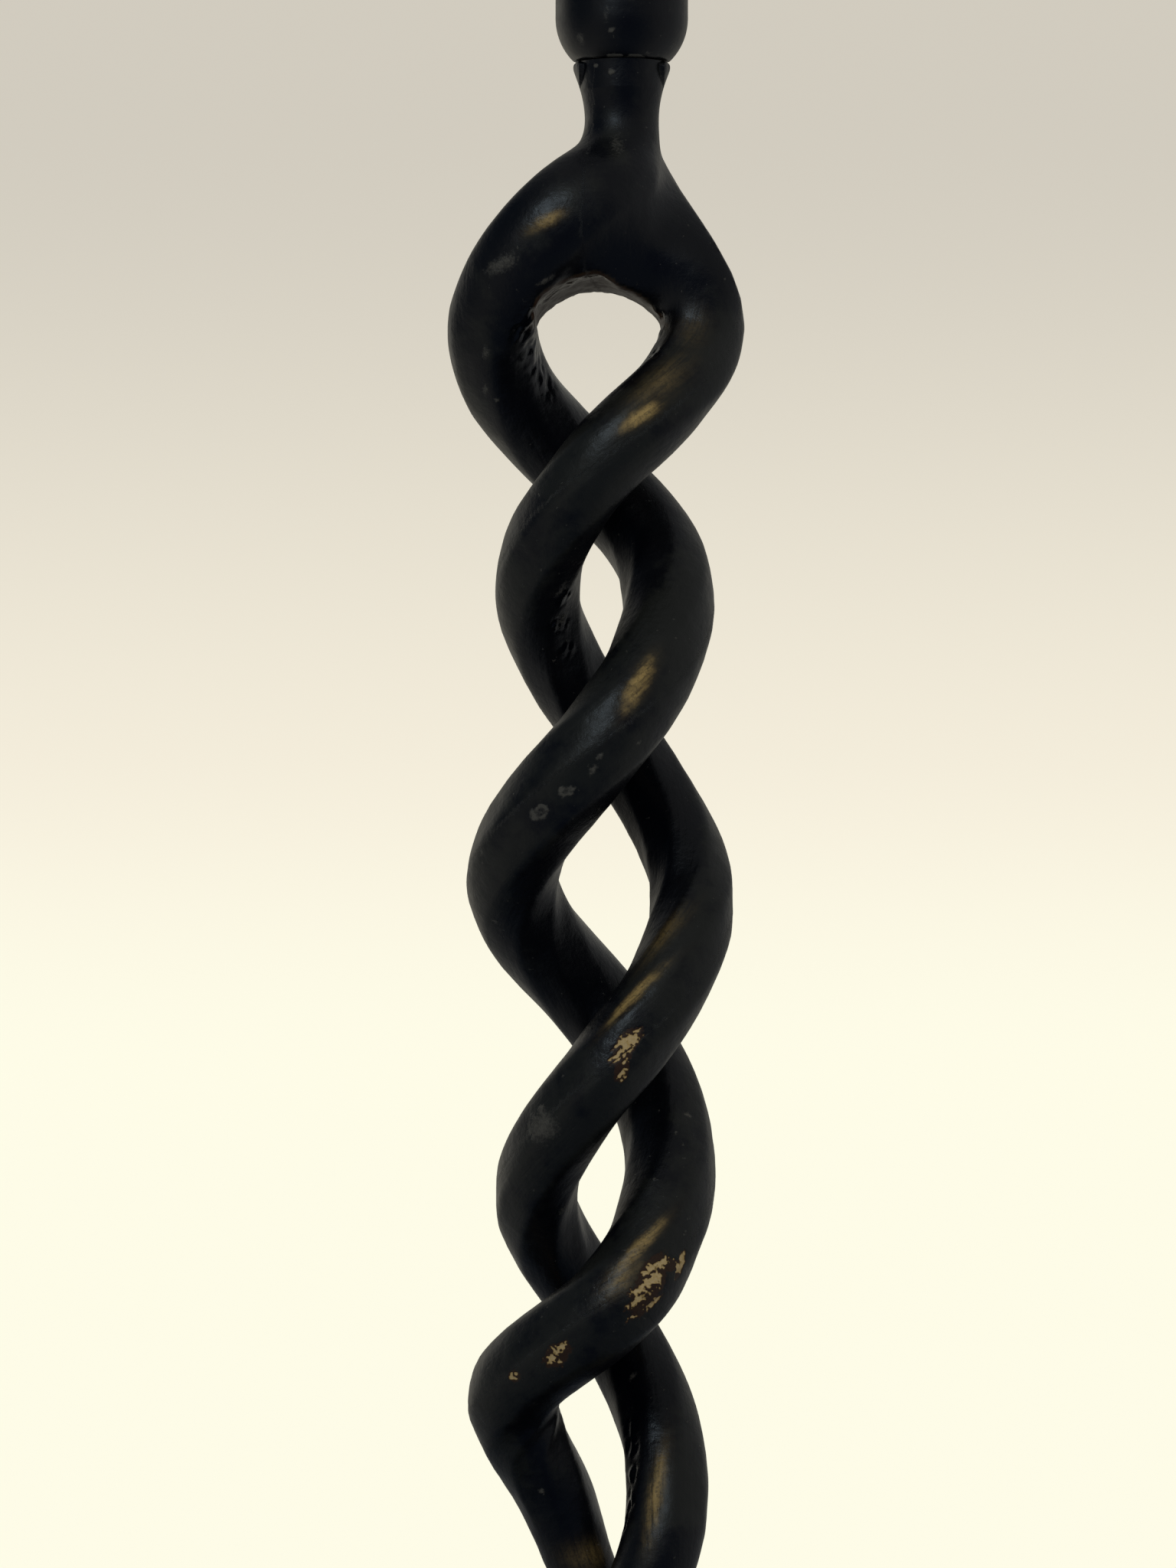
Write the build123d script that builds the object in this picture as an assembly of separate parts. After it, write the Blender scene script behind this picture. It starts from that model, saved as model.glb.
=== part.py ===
from build123d import *
import math
import os

# A tall candle holder in black wood. Two strands, carved from one blank, wind round each other with open
# gaps between them. The blank ends in a collar under a turned cup, and in a tenon that a screw holds to a
# two-piece turned base. A brass liner drops into the cup and lifts out for cleaning.
# Millimetres, +Z up. The origin is the middle of the felt's underside. Looking along +Y, +X is to the right.

# Shared clearances
GLUE_GAP = 0.1
END_GAP = 0.5
CUT_OVERRUN = 1

# Stem: the turned lower end
LOWER_NECK_DIAMETER = 25
LOWER_NECK_LENGTH = 7
LOWER_NECK_FLARE = 1
LOWER_COLLAR_HEIGHT = 7
TENON_SHOULDER = 1.5
TENON_LENGTH = 15
LOWER_ROOT_LENGTH = 14
LOWER_ROOT_TAPER = 5.5

# Stem: the twist, between the waists of the two necks
TWIST_LENGTH = 376
TWIST_REACH = 20
TWIST_BOW = 4.8
LEFT_STRAND_DIAMETER = 22.4
RIGHT_STRAND_DIAMETER = 20.4
LEFT_FOOT_DIAMETER = 14
RIGHT_FOOT_DIAMETER = 18

# Stem: the solid shoulder over the first opening
SHOULDER_DEPTH = 20
ARCH_DIAMETER = 36
ARCH_OFFSET = 5.4

# Stem: the turned upper end
NECK_DIAMETER = 18
NECK_LENGTH = 11.4
NECK_FLARE = 2.6
NECK_ROOT_LENGTH = 12
COLLAR_HEIGHT = 2.6
COLLAR_BULGE = 0.4

# Dowel between stem and cup
DOWEL_DIAMETER = 10
DOWEL_IN_NECK = 13
DOWEL_IN_CUP = 11
DOWEL_CHAMFER = 1

# Brass liner
CANDLE_BORE = 22.4
LINER_WALL = 0.8
LINER_DEPTH = 26
LINER_RIM_WIDTH = 5
LINER_RIM_THICKNESS = 1.2
LINER_MOUTH_ROUND = 0.8
LINER_CLEARANCE = 0.2

# Cup
CUP_WALL = 3.8
CUP_FLOOR = 4
CUP_BOWL_HEIGHT = 11
CUP_RIM_HEIGHT = 5
CUP_GROOVE_DEPTH = 0.5
CUP_GROOVE_HEIGHT = 1

# Riser, the turned block between stem and foot
RISER_MARGIN = 2
RISER_LIP_HEIGHT = 2.5
RISER_COVE_WIDTH = 15
RISER_COVE_HEIGHT = 10.5
RISER_STEP = 2
RISER_ROUND_WIDTH = 8
RISER_ROUND_HEIGHT = 6
RISER_PLINTH_HEIGHT = 3
RISER_SPIGOT_DIAMETER = 44
RISER_SPIGOT_LENGTH = 6

# Foot, the wide plate of the base
FOOT_SHELF = 4
FOOT_COVE_WIDTH = 8.5
FOOT_COVE_HEIGHT = 11
FOOT_STEP = 3
FOOT_EDGE_HEIGHT = 9

# Felt under the foot
FELT_THICKNESS = 2
FELT_INSET = 0.5

# Screw and washer that hold the stem to the base
SCREW_DIAMETER = 5
SCREW_LENGTH = 45
SCREW_TIP_LENGTH = 6
SCREW_HEAD_DIAMETER = 10
SCREW_HEAD_HEIGHT = 3.4
SCREW_SLOT_WIDTH = 1.4
SCREW_SLOT_DEPTH = 1.6
SCREW_CLEARANCE = 0.3
PILOT_CLEARANCE = 0.05
WASHER_DIAMETER = 15
WASHER_THICKNESS = 1.2
COUNTERBORE_DEPTH = 7
COUNTERBORE_CLEARANCE = 1

# Each strand from the neck down to the base: its even length, and then its taper. A row is how far round it has
# wound since the first opening, in turns; how high it is, as a share of the twist's length; and how far out, as
# a share of the twist's reach.
LEFT_EVEN_SHARES = (
    (-0.25, 0.962, 0.10),
    (-0.10, 0.919, 1.09),
    (0.00, 0.863, 1.35),
    (0.25, 0.766, 0.90),
    (0.36, 0.734, 0.88),
    (0.50, 0.687, 0.80),
    (0.75, 0.600, 0.90),
    (1.00, 0.510, 1.08),
    (1.25, 0.426, 0.90),
    (1.50, 0.332, 0.82),
    (1.75, 0.237, 0.90),
    (1.97, 0.182, 1.10),
)
LEFT_TAPER_SHARES = (
    (2.08, 0.115, 0.70),
    (2.14, 0.073, 0.58),
    (2.20, 0.033, 0.32),
    (2.25, 0.005, 0.02),
)
RIGHT_EVEN_SHARES = (
    (-0.19, 0.968, 0.22),
    (-0.11, 0.923, 0.86),
    (0.00, 0.868, 1.18),
    (0.25, 0.777, 0.90),
    (0.50, 0.699, 0.78),
    (0.75, 0.613, 0.90),
    (1.00, 0.498, 1.09),
    (1.25, 0.388, 0.90),
    (1.50, 0.309, 0.80),
    (1.75, 0.228, 0.90),
    (2.00, 0.122, 0.76),
)
RIGHT_TAPER_SHARES = (
    (2.08, 0.073, 0.62),
    (2.18, 0.033, 0.34),
    (2.25, 0.005, 0.02),
)
LEFT_START_ANGLE = 180
RIGHT_START_ANGLE = 0
# The bow of the twist's middle line is flat along the middle and falls away at both ends by this power.
BOW_POWER = 6
# The shoulder that joins the strands. A row is its turn and its height, as for the strands; how far it
# reaches into the left and into the right strand; and how deep it is, as a share of the shoulder's depth.
SHOULDER_SHARES = (
    (-0.139, 0.963, 0.45, 0.50, 0.94),
    (-0.136, 0.942, 0.86, 0.89, 1.00),
    (-0.111, 0.920, 1.27, 1.13, 1.05),
    (-0.067, 0.899, 1.46, 1.24, 1.00),
    (-0.014, 0.868, 1.51, 1.28, 0.86),
)
# The height of the arch's centre, as a share of the twist's length.
ARCH_HEIGHT_SHARE = 0.842
# A point that the neck's flare passes, and one that the cup's bowl passes: shares of their width and height.
NECK_FLARE_SHARES = (0.36, 0.58)
CUP_BOWL_SHARES = (0.66, 0.36)

# Radii and sizes that follow from the values above
LOWER_NECK_RADIUS = LOWER_NECK_DIAMETER / 2
LOWER_SHELF_RADIUS = LOWER_NECK_RADIUS + LOWER_NECK_FLARE
LOWER_COLLAR_RADIUS = LOWER_SHELF_RADIUS + LOWER_COLLAR_HEIGHT / 2
TENON_RADIUS = LOWER_NECK_RADIUS - TENON_SHOULDER
NECK_RADIUS = NECK_DIAMETER / 2
SEAM_RADIUS = NECK_RADIUS + NECK_FLARE
BORE_RADIUS = CANDLE_BORE / 2
LINER_RADIUS = BORE_RADIUS + LINER_WALL
POCKET_RADIUS = LINER_RADIUS + LINER_CLEARANCE
CUP_RADIUS = POCKET_RADIUS + CUP_WALL
CUP_HEIGHT = DOWEL_IN_CUP + END_GAP + CUP_FLOOR + END_GAP + LINER_DEPTH
RISER_TOP_RADIUS = LOWER_COLLAR_RADIUS + RISER_MARGIN
RISER_STEP_RADIUS = RISER_TOP_RADIUS + RISER_COVE_WIDTH
RISER_SHELF_RADIUS = RISER_STEP_RADIUS + RISER_STEP
RISER_RADIUS = RISER_SHELF_RADIUS + RISER_ROUND_WIDTH
FOOT_TOP_RADIUS = RISER_RADIUS + FOOT_SHELF
FOOT_COVE_RADIUS = FOOT_TOP_RADIUS + FOOT_COVE_WIDTH
FOOT_EDGE_RADIUS = FOOT_COVE_RADIUS + FOOT_STEP
SCREW_HOLE_RADIUS = SCREW_DIAMETER / 2 + SCREW_CLEARANCE

# Heights of the seats, from the floor up
FOOT_BOTTOM = FELT_THICKNESS
FOOT_TOP = FOOT_BOTTOM + FOOT_EDGE_HEIGHT + FOOT_COVE_HEIGHT
RISER_SHELF = FOOT_TOP + RISER_PLINTH_HEIGHT + RISER_ROUND_HEIGHT
RISER_LIP = RISER_SHELF + RISER_COVE_HEIGHT
STEM_SEAT = RISER_LIP + RISER_LIP_HEIGHT
TENON_BOTTOM = STEM_SEAT - TENON_LENGTH
COLLAR_TOP = STEM_SEAT + LOWER_COLLAR_HEIGHT
TWIST_BOTTOM = COLLAR_TOP + LOWER_NECK_LENGTH
TWIST_TOP = TWIST_BOTTOM + TWIST_LENGTH
NECK_TOP = TWIST_TOP + NECK_LENGTH
CUP_SEAT = NECK_TOP + COLLAR_HEIGHT
CUP_TOP = CUP_SEAT + CUP_HEIGHT
WASHER_SEAT = FOOT_BOTTOM + COUNTERBORE_DEPTH
SCREW_SEAT = WASHER_SEAT - WASHER_THICKNESS
SCREW_TIP = SCREW_SEAT + SCREW_LENGTH


def turned(outline):
    """A solid of revolution about the axis, from a closed outline of (radius, height)."""
    return revolve(Plane.XZ * make_face(outline), Axis.Z)


def drilled(radius, low, high):
    """A round cutter on the axis between two heights."""
    return Pos(0, 0, low) * extrude(Circle(radius), high - low)


def half_round(root_radius, low, high):
    """A half-round edge that bulges out from root_radius between two heights."""
    radius = (high - low) / 2
    return CenterArc((root_radius, low + radius), radius, -90, 180)


def cove(outer_radius, low, inner_radius, high):
    """A hollow quarter round that climbs inwards, flat at its foot and upright at its top."""
    return EllipticalCenterArc(
        (outer_radius, high), outer_radius - inner_radius, high - low, 270, arc_size=-90
    )


def felt_pad():
    return extrude(Circle(FOOT_EDGE_RADIUS - FELT_INSET), FELT_THICKNESS)


def base_foot():
    edge_top = FOOT_BOTTOM + FOOT_EDGE_HEIGHT
    outline = [
        Line((0, FOOT_BOTTOM), (FOOT_EDGE_RADIUS, FOOT_BOTTOM)),
        half_round(FOOT_EDGE_RADIUS, FOOT_BOTTOM, edge_top),
        Line((FOOT_EDGE_RADIUS, edge_top), (FOOT_COVE_RADIUS, edge_top)),
        cove(FOOT_COVE_RADIUS, edge_top, FOOT_TOP_RADIUS, FOOT_TOP),
        Polyline((FOOT_TOP_RADIUS, FOOT_TOP), (0, FOOT_TOP), (0, FOOT_BOTTOM)),
    ]
    recess_floor = FOOT_TOP - RISER_SPIGOT_LENGTH - END_GAP
    recess = drilled(RISER_SPIGOT_DIAMETER / 2 + GLUE_GAP, recess_floor, FOOT_TOP + CUT_OVERRUN)
    counterbore = drilled(
        WASHER_DIAMETER / 2 + COUNTERBORE_CLEARANCE, FOOT_BOTTOM - CUT_OVERRUN, WASHER_SEAT
    )
    screw_hole = drilled(SCREW_HOLE_RADIUS, FOOT_BOTTOM, FOOT_TOP)
    return turned(outline) - recess - counterbore - screw_hole


def base_riser():
    spigot = RISER_SPIGOT_DIAMETER / 2
    spigot_end = FOOT_TOP - RISER_SPIGOT_LENGTH
    plinth = FOOT_TOP + RISER_PLINTH_HEIGHT
    outline = [
        Polyline(
            (0, spigot_end),
            (spigot, spigot_end),
            (spigot, FOOT_TOP),
            (RISER_RADIUS, FOOT_TOP),
            (RISER_RADIUS, plinth),
        ),
        EllipticalCenterArc(
            (RISER_SHELF_RADIUS, plinth), RISER_ROUND_WIDTH, RISER_ROUND_HEIGHT, 0, arc_size=90
        ),
        Line((RISER_SHELF_RADIUS, RISER_SHELF), (RISER_STEP_RADIUS, RISER_SHELF)),
        cove(RISER_STEP_RADIUS, RISER_SHELF, RISER_TOP_RADIUS, RISER_LIP),
        Polyline(
            (RISER_TOP_RADIUS, RISER_LIP), (RISER_TOP_RADIUS, STEM_SEAT), (0, STEM_SEAT), (0, spigot_end)
        ),
    ]
    mortise = drilled(TENON_RADIUS + GLUE_GAP, TENON_BOTTOM - END_GAP, STEM_SEAT + CUT_OVERRUN)
    screw_hole = drilled(SCREW_HOLE_RADIUS, spigot_end - CUT_OVERRUN, STEM_SEAT)
    return turned(outline) - mortise - screw_hole


def base_screw():
    """A dome-headed wood screw, driven up from under the foot, with its head down."""
    head = SCREW_HEAD_DIAMETER / 2
    shank = SCREW_DIAMETER / 2
    outline = [
        EllipticalCenterArc((0, SCREW_SEAT), head, SCREW_HEAD_HEIGHT, 270, arc_size=90),
        Polyline(
            (head, SCREW_SEAT),
            (shank, SCREW_SEAT),
            (shank, SCREW_TIP - SCREW_TIP_LENGTH),
            (0, SCREW_TIP),
            (0, SCREW_SEAT - SCREW_HEAD_HEIGHT),
        ),
    ]
    slot = Box(SCREW_HEAD_DIAMETER + CUT_OVERRUN, SCREW_SLOT_WIDTH, 2 * SCREW_SLOT_DEPTH)
    return turned(outline) - Pos(0, 0, SCREW_SEAT - SCREW_HEAD_HEIGHT) * slot


def base_washer():
    ring = Circle(WASHER_DIAMETER / 2) - Circle(SCREW_HOLE_RADIUS)
    return Pos(0, 0, SCREW_SEAT) * extrude(ring, WASHER_THICKNESS)


def twist_place(start_angle, turns, height_share, reach):
    """A point of the twist: so far round, so high, and so far out from its bowed middle line."""
    angle = math.radians(start_angle - 360 * turns)
    bow = TWIST_BOW * (1 - (2 * height_share - 1) ** BOW_POWER)
    height = TWIST_BOTTOM + TWIST_LENGTH * height_share
    return Vector(reach * math.cos(angle) - bow, reach * math.sin(angle), height)


def strand(start_angle, diameter, foot_diameter, even_rows, taper_rows):
    """One round strand along its path, with a round end in the neck and a taper below the last opening."""
    places = [twist_place(start_angle, t, h, TWIST_REACH * r) for t, h, r in even_rows + taper_rows]
    path = Spline(*places)
    taper_from = path.param_at_point(places[len(even_rows) - 1])
    upper = path.trim(0, taper_from)
    lower = path.trim(taper_from, 1)
    upper_section = Plane(upper @ 0, z_dir=upper % 0) * Circle(diameter / 2)
    lower_sections = [
        Plane(lower @ 0, z_dir=lower % 0) * Circle(diameter / 2),
        Plane(lower @ 1, z_dir=lower % 1) * Circle(foot_diameter / 2),
    ]
    even = sweep(upper_section, upper)
    tapered = sweep(lower_sections, lower, multisection=True)
    return even + tapered + Pos(places[0]) * Sphere(diameter / 2)


def shoulder():
    """Solid wood between the strands under the neck, with the round top of the first opening cut from it."""
    sections = []
    for turns, height_share, left_share, right_share, depth_share in SHOULDER_SHARES:
        left = twist_place(LEFT_START_ANGLE, turns, height_share, TWIST_REACH * left_share)
        right = twist_place(RIGHT_START_ANGLE, turns, height_share, TWIST_REACH * right_share)
        plane = Plane((left + right) / 2, x_dir=right - left, z_dir=Axis.Z.direction)
        sections.append(plane * Ellipse((right - left).length / 2, SHOULDER_DEPTH * depth_share / 2))
    arch_height = TWIST_BOTTOM + TWIST_LENGTH * ARCH_HEIGHT_SHARE
    arch = Rot(90, 0, 0) * Cylinder(ARCH_DIAMETER / 2, 2 * (SHOULDER_DEPTH + TWIST_REACH))
    return loft(sections) - Pos(-ARCH_OFFSET, 0, arch_height) * arch


def lower_end():
    """The tenon, collar and neck at the foot of the stem, with a cone that roots the strands in the neck."""
    root_top = TWIST_BOTTOM + LOWER_ROOT_LENGTH
    outline = [
        Polyline(
            (0, TENON_BOTTOM),
            (TENON_RADIUS, TENON_BOTTOM),
            (TENON_RADIUS, STEM_SEAT),
            (LOWER_SHELF_RADIUS, STEM_SEAT),
        ),
        half_round(LOWER_SHELF_RADIUS, STEM_SEAT, COLLAR_TOP),
        cove(LOWER_SHELF_RADIUS, COLLAR_TOP, LOWER_NECK_RADIUS, TWIST_BOTTOM),
        Polyline(
            (LOWER_NECK_RADIUS, TWIST_BOTTOM),
            (LOWER_NECK_RADIUS - LOWER_ROOT_TAPER, root_top),
            (0, root_top),
            (0, TENON_BOTTOM),
        ),
    ]
    return turned(outline)


def upper_end():
    """The neck and the collar under the cup."""
    root = TWIST_TOP - NECK_ROOT_LENGTH
    across, along = NECK_FLARE_SHARES
    flare_middle = (NECK_RADIUS + NECK_FLARE * across, TWIST_TOP + NECK_LENGTH * along)
    bead_middle = (SEAM_RADIUS + COLLAR_BULGE, NECK_TOP + COLLAR_HEIGHT / 2)
    outline = [
        Polyline((0, root), (NECK_RADIUS, root), (NECK_RADIUS, TWIST_TOP)),
        ThreePointArc((NECK_RADIUS, TWIST_TOP), flare_middle, (SEAM_RADIUS, NECK_TOP)),
        ThreePointArc((SEAM_RADIUS, NECK_TOP), bead_middle, (SEAM_RADIUS, CUP_SEAT)),
        Polyline((SEAM_RADIUS, CUP_SEAT), (0, CUP_SEAT), (0, root)),
    ]
    return turned(outline)


def twist_stem():
    left = strand(
        LEFT_START_ANGLE, LEFT_STRAND_DIAMETER, LEFT_FOOT_DIAMETER, LEFT_EVEN_SHARES, LEFT_TAPER_SHARES
    )
    right = strand(
        RIGHT_START_ANGLE, RIGHT_STRAND_DIAMETER, RIGHT_FOOT_DIAMETER, RIGHT_EVEN_SHARES, RIGHT_TAPER_SHARES
    )
    stem = left + right + shoulder() + lower_end() + upper_end()
    pilot = drilled(SCREW_DIAMETER / 2 + PILOT_CLEARANCE, TENON_BOTTOM - CUT_OVERRUN, SCREW_TIP + END_GAP)
    dowel_floor = CUP_SEAT - DOWEL_IN_NECK - END_GAP
    dowel_hole = drilled(DOWEL_DIAMETER / 2 + GLUE_GAP, dowel_floor, CUP_SEAT + CUT_OVERRUN)
    return stem - pilot - dowel_hole


def cup_dowel():
    pin = extrude(Circle(DOWEL_DIAMETER / 2), DOWEL_IN_NECK + DOWEL_IN_CUP)
    pin = chamfer(pin.edges().filter_by(GeomType.CIRCLE), DOWEL_CHAMFER)
    return Pos(0, 0, CUP_SEAT - DOWEL_IN_NECK) * pin


def candle_cup():
    rim_low = CUP_TOP - CUP_RIM_HEIGHT
    rim_root = CUP_RADIUS - CUP_GROOVE_DEPTH
    bowl_top = CUP_SEAT + CUP_BOWL_HEIGHT
    across, along = CUP_BOWL_SHARES
    bowl_middle = (
        SEAM_RADIUS + (CUP_RADIUS - SEAM_RADIUS) * across,
        CUP_SEAT + CUP_BOWL_HEIGHT * along,
    )
    outline = [
        Line((0, CUP_SEAT), (SEAM_RADIUS, CUP_SEAT)),
        ThreePointArc((SEAM_RADIUS, CUP_SEAT), bowl_middle, (CUP_RADIUS, bowl_top)),
        Polyline((CUP_RADIUS, bowl_top), (CUP_RADIUS, rim_low - CUP_GROOVE_HEIGHT), (rim_root, rim_low)),
        half_round(rim_root, rim_low, CUP_TOP),
        Polyline((rim_root, CUP_TOP), (0, CUP_TOP), (0, CUP_SEAT)),
    ]
    pocket = drilled(POCKET_RADIUS, CUP_TOP - LINER_DEPTH - END_GAP, CUP_TOP + CUT_OVERRUN)
    dowel_top = CUP_SEAT + DOWEL_IN_CUP + END_GAP
    dowel_hole = drilled(DOWEL_DIAMETER / 2 + GLUE_GAP, CUP_SEAT - CUT_OVERRUN, dowel_top)
    return turned(outline) - pocket - dowel_hole


def candle_liner():
    """A spun brass tube with a floor, and a flat rim that rests on the cup."""
    bottom = CUP_TOP - LINER_DEPTH
    floor = bottom + LINER_WALL
    rim_top = CUP_TOP + LINER_RIM_THICKNESS
    rim_edge = LINER_RADIUS + LINER_RIM_WIDTH - LINER_RIM_THICKNESS / 2
    mouth_radius = BORE_RADIUS + LINER_MOUTH_ROUND
    mouth = rim_top - LINER_MOUTH_ROUND
    outline = [
        Polyline((0, bottom), (LINER_RADIUS, bottom), (LINER_RADIUS, CUP_TOP), (rim_edge, CUP_TOP)),
        half_round(rim_edge, CUP_TOP, rim_top),
        Line((rim_edge, rim_top), (mouth_radius, rim_top)),
        CenterArc((mouth_radius, mouth), LINER_MOUTH_ROUND, 90, 90),
        Polyline((BORE_RADIUS, mouth), (BORE_RADIUS, floor), (0, floor), (0, bottom)),
    ]
    return turned(outline)


PIECES = (
    felt_pad,
    base_foot,
    base_riser,
    base_screw,
    base_washer,
    twist_stem,
    cup_dowel,
    candle_cup,
    candle_liner,
)


def main():
    os.makedirs("parts", exist_ok=True)
    for piece in PIECES:
        solid = piece()
        export_step(solid, f"parts/{piece.__name__}.step")
        size = solid.bounding_box().size
        sound = "sound" if solid.is_valid else "not sound"
        print(f"{piece.__name__}: {len(solid.solids())} solid, {sound}, {solid.volume:.0f} mm3, {size}")


main()
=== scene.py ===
# %% [markdown]
# # A carved candle holder
# Two strands of wood, carved from one blank and blackened, wind round each other under a turned cup. The
# construction model gives the solids. This lesson dresses them: it carves, wears and lacquers the wood, spins
# the brass, and sets the holder in a plain studio. The solids come in first and stay where they are, so every
# piece made here is already in its place.

# %% Load the solids
import bpy
import bmesh
import math
import random
import numpy as np
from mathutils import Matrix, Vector, noise
from mathutils.bvhtree import BVHTree


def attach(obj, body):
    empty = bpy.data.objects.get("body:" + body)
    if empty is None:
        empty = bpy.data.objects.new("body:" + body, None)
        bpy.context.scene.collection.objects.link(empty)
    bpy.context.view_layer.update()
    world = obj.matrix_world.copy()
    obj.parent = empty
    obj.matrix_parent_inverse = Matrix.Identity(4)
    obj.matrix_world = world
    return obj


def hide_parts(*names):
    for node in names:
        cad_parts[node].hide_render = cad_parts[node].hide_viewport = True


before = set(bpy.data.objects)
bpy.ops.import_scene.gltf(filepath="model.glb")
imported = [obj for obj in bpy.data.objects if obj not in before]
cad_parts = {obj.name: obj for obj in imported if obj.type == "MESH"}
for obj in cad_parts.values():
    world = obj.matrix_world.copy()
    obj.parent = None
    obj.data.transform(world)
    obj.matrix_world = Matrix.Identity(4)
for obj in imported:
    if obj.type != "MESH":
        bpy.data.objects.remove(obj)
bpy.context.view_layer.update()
MM = 0.001
print("solids:", sorted(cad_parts))

# %% [markdown]
# ## The camera
# The picture is 1536 by 2048 pixels, and crops the holder at both ends. The cup is 32 mm across and 173 pixels
# wide, so a pixel is 0.185 mm at the holder's axis. A long lens at eye level of the picture's middle keeps the
# two edges of the twist parallel, as they are in the picture. The same numbers later turn any pixel into a ray.

# %% Set up the camera
PICTURE_WIDTH, PICTURE_HEIGHT = 1536, 2048
PIXEL = 0.185 * MM
AXIS_COLUMN = 812
TOP_ROW_HEIGHT = 462.9 * MM
CAMERA_DISTANCE = 1.5
SENSOR = 36


def picture_point(column, row):
    """Where a pixel of the picture meets the upright plane through the holder's axis."""
    return Vector(((column - AXIS_COLUMN) * PIXEL, 0, TOP_ROW_HEIGHT - row * PIXEL))


def make_camera():
    data = bpy.data.cameras.new("camera")
    data.sensor_width = SENSOR
    data.lens = SENSOR * CAMERA_DISTANCE / (PICTURE_HEIGHT * PIXEL)
    made = bpy.data.objects.new("camera", data)
    middle = picture_point(PICTURE_WIDTH / 2, PICTURE_HEIGHT / 2)
    made.location = middle - Vector((0, CAMERA_DISTANCE, 0))
    made.rotation_euler = (math.pi / 2, 0, 0)
    bpy.context.scene.collection.objects.link(made)
    bpy.context.scene.camera = made
    return made


camera = make_camera()
print("lens", round(camera.data.lens, 1), "mm")

# %% [markdown]
# ## Small helpers for nodes
# Materials are networks of nodes. They could be joined by hand in Blender's shader editor; in code, a few short
# helpers keep them readable. They add a node and fill or link its inputs, mix two colours, do sums and make noise.

# %% Node helpers
MIX_FACTOR, MIX_FIRST, MIX_SECOND, MIX_RESULT = 0, 6, 7, 2


def fill(tree, node, inputs):
    """Gives each input of a node a value, or links it if it is given another node's output."""
    for key, value in inputs.items():
        if isinstance(value, bpy.types.NodeSocket):
            tree.links.new(value, node.inputs[key])
        else:
            node.inputs[key].default_value = value


def add(tree, kind, inputs=None, **settings):
    """A new node with its settings and inputs."""
    made = tree.nodes.new(kind)
    for key, value in settings.items():
        setattr(made, key, value)
    fill(tree, made, inputs or {})
    return made


def mixed(tree, factor, first, second):
    """The colour between first and second."""
    inputs = {MIX_FACTOR: factor, MIX_FIRST: first, MIX_SECOND: second}
    return add(tree, "ShaderNodeMix", inputs, data_type="RGBA").outputs[MIX_RESULT]


def maths(tree, operation, *terms):
    return add(tree, "ShaderNodeMath", dict(enumerate(terms)), operation=operation).outputs[0]


def times(tree, first, second, plus=0.0):
    """first times second, plus a third value."""
    return maths(tree, "MULTIPLY_ADD", first, second, plus)


def vector_maths(tree, operation, *terms):
    return add(tree, "ShaderNodeVectorMath", dict(enumerate(terms)), operation=operation).outputs


def stepped(tree, value, low, high):
    """0 below low, 1 above high, and a smooth step between them."""
    inputs = {"Value": value, "From Min": low, "From Max": high}
    return add(tree, "ShaderNodeMapRange", inputs, interpolation_type="SMOOTHSTEP").outputs["Result"]


def cloud(tree, place, scale, detail=3.0, roughness=0.55):
    """Noise between 0 and 1 at a place; scale is in clouds per metre."""
    inputs = {"Vector": place, "Scale": scale, "Detail": detail, "Roughness": roughness}
    return add(tree, "ShaderNodeTexNoise", inputs).outputs["Fac"]


def object_place(tree):
    return add(tree, "ShaderNodeTexCoord").outputs["Object"]


def bumped(tree, height, distance, strength):
    """The normal of a surface with a fine relief."""
    inputs = {"Height": height, "Distance": distance, "Strength": strength}
    return add(tree, "ShaderNodeBump", inputs).outputs["Normal"]


print("node helpers ready")

# %% [markdown]
# ## Starting materials and groups
# A finish is a network that ends in a shader. The Principled BSDF suits all of this holder's finishes: lacquer,
# brass, zinc, beech and felt. An effect that several finishes share is a group, built once and placed in each with
# its own values, so that a change to it reaches them all.

# %% Start a material or a group
FLOAT, COLOUR, VECTOR = "NodeSocketFloat", "NodeSocketColor", "NodeSocketVector"


def new_group(name, inputs, outputs):
    """A shader group, what it is given, and its output node.

    An input is a name, a kind and a value, and an output a name and a kind.
    """
    tree = bpy.data.node_groups.new(name, "ShaderNodeTree")
    for label, kind, default in inputs:
        tree.interface.new_socket(name=label, in_out="INPUT", socket_type=kind).default_value = default
    for label, kind in outputs:
        tree.interface.new_socket(name=label, in_out="OUTPUT", socket_type=kind)
    return tree, tree.nodes.new("NodeGroupInput").outputs, tree.nodes.new("NodeGroupOutput")


def empty_material(name):
    material = bpy.data.materials.new(name)
    material.use_nodes = True
    material.node_tree.nodes.clear()
    return material, material.node_tree


def new_material(name):
    """A material with its Principled BSDF joined to the output."""
    material, tree = empty_material(name)
    shader = tree.nodes.new("ShaderNodeBsdfPrincipled")
    add(tree, "ShaderNodeOutputMaterial", {"Surface": shader.outputs["BSDF"]})
    return material, tree, shader


print("socket kinds:", FLOAT, COLOUR, VECTOR)

# %% [markdown]
# ## What the lacquer mirrors
# A black lacquer mirrors whatever is bright round it, so the room matters more than the lamps. In the picture it
# mirrors an even, dim room: a little brighter behind, on the left at the back and high in front, and darker and
# bluer low in front, on the left and underneath. A panorama could be wrapped round the scene. A node group that
# gives the room's light for any direction is easier to adjust, and the backdrop and the sky above it can share it.

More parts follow.
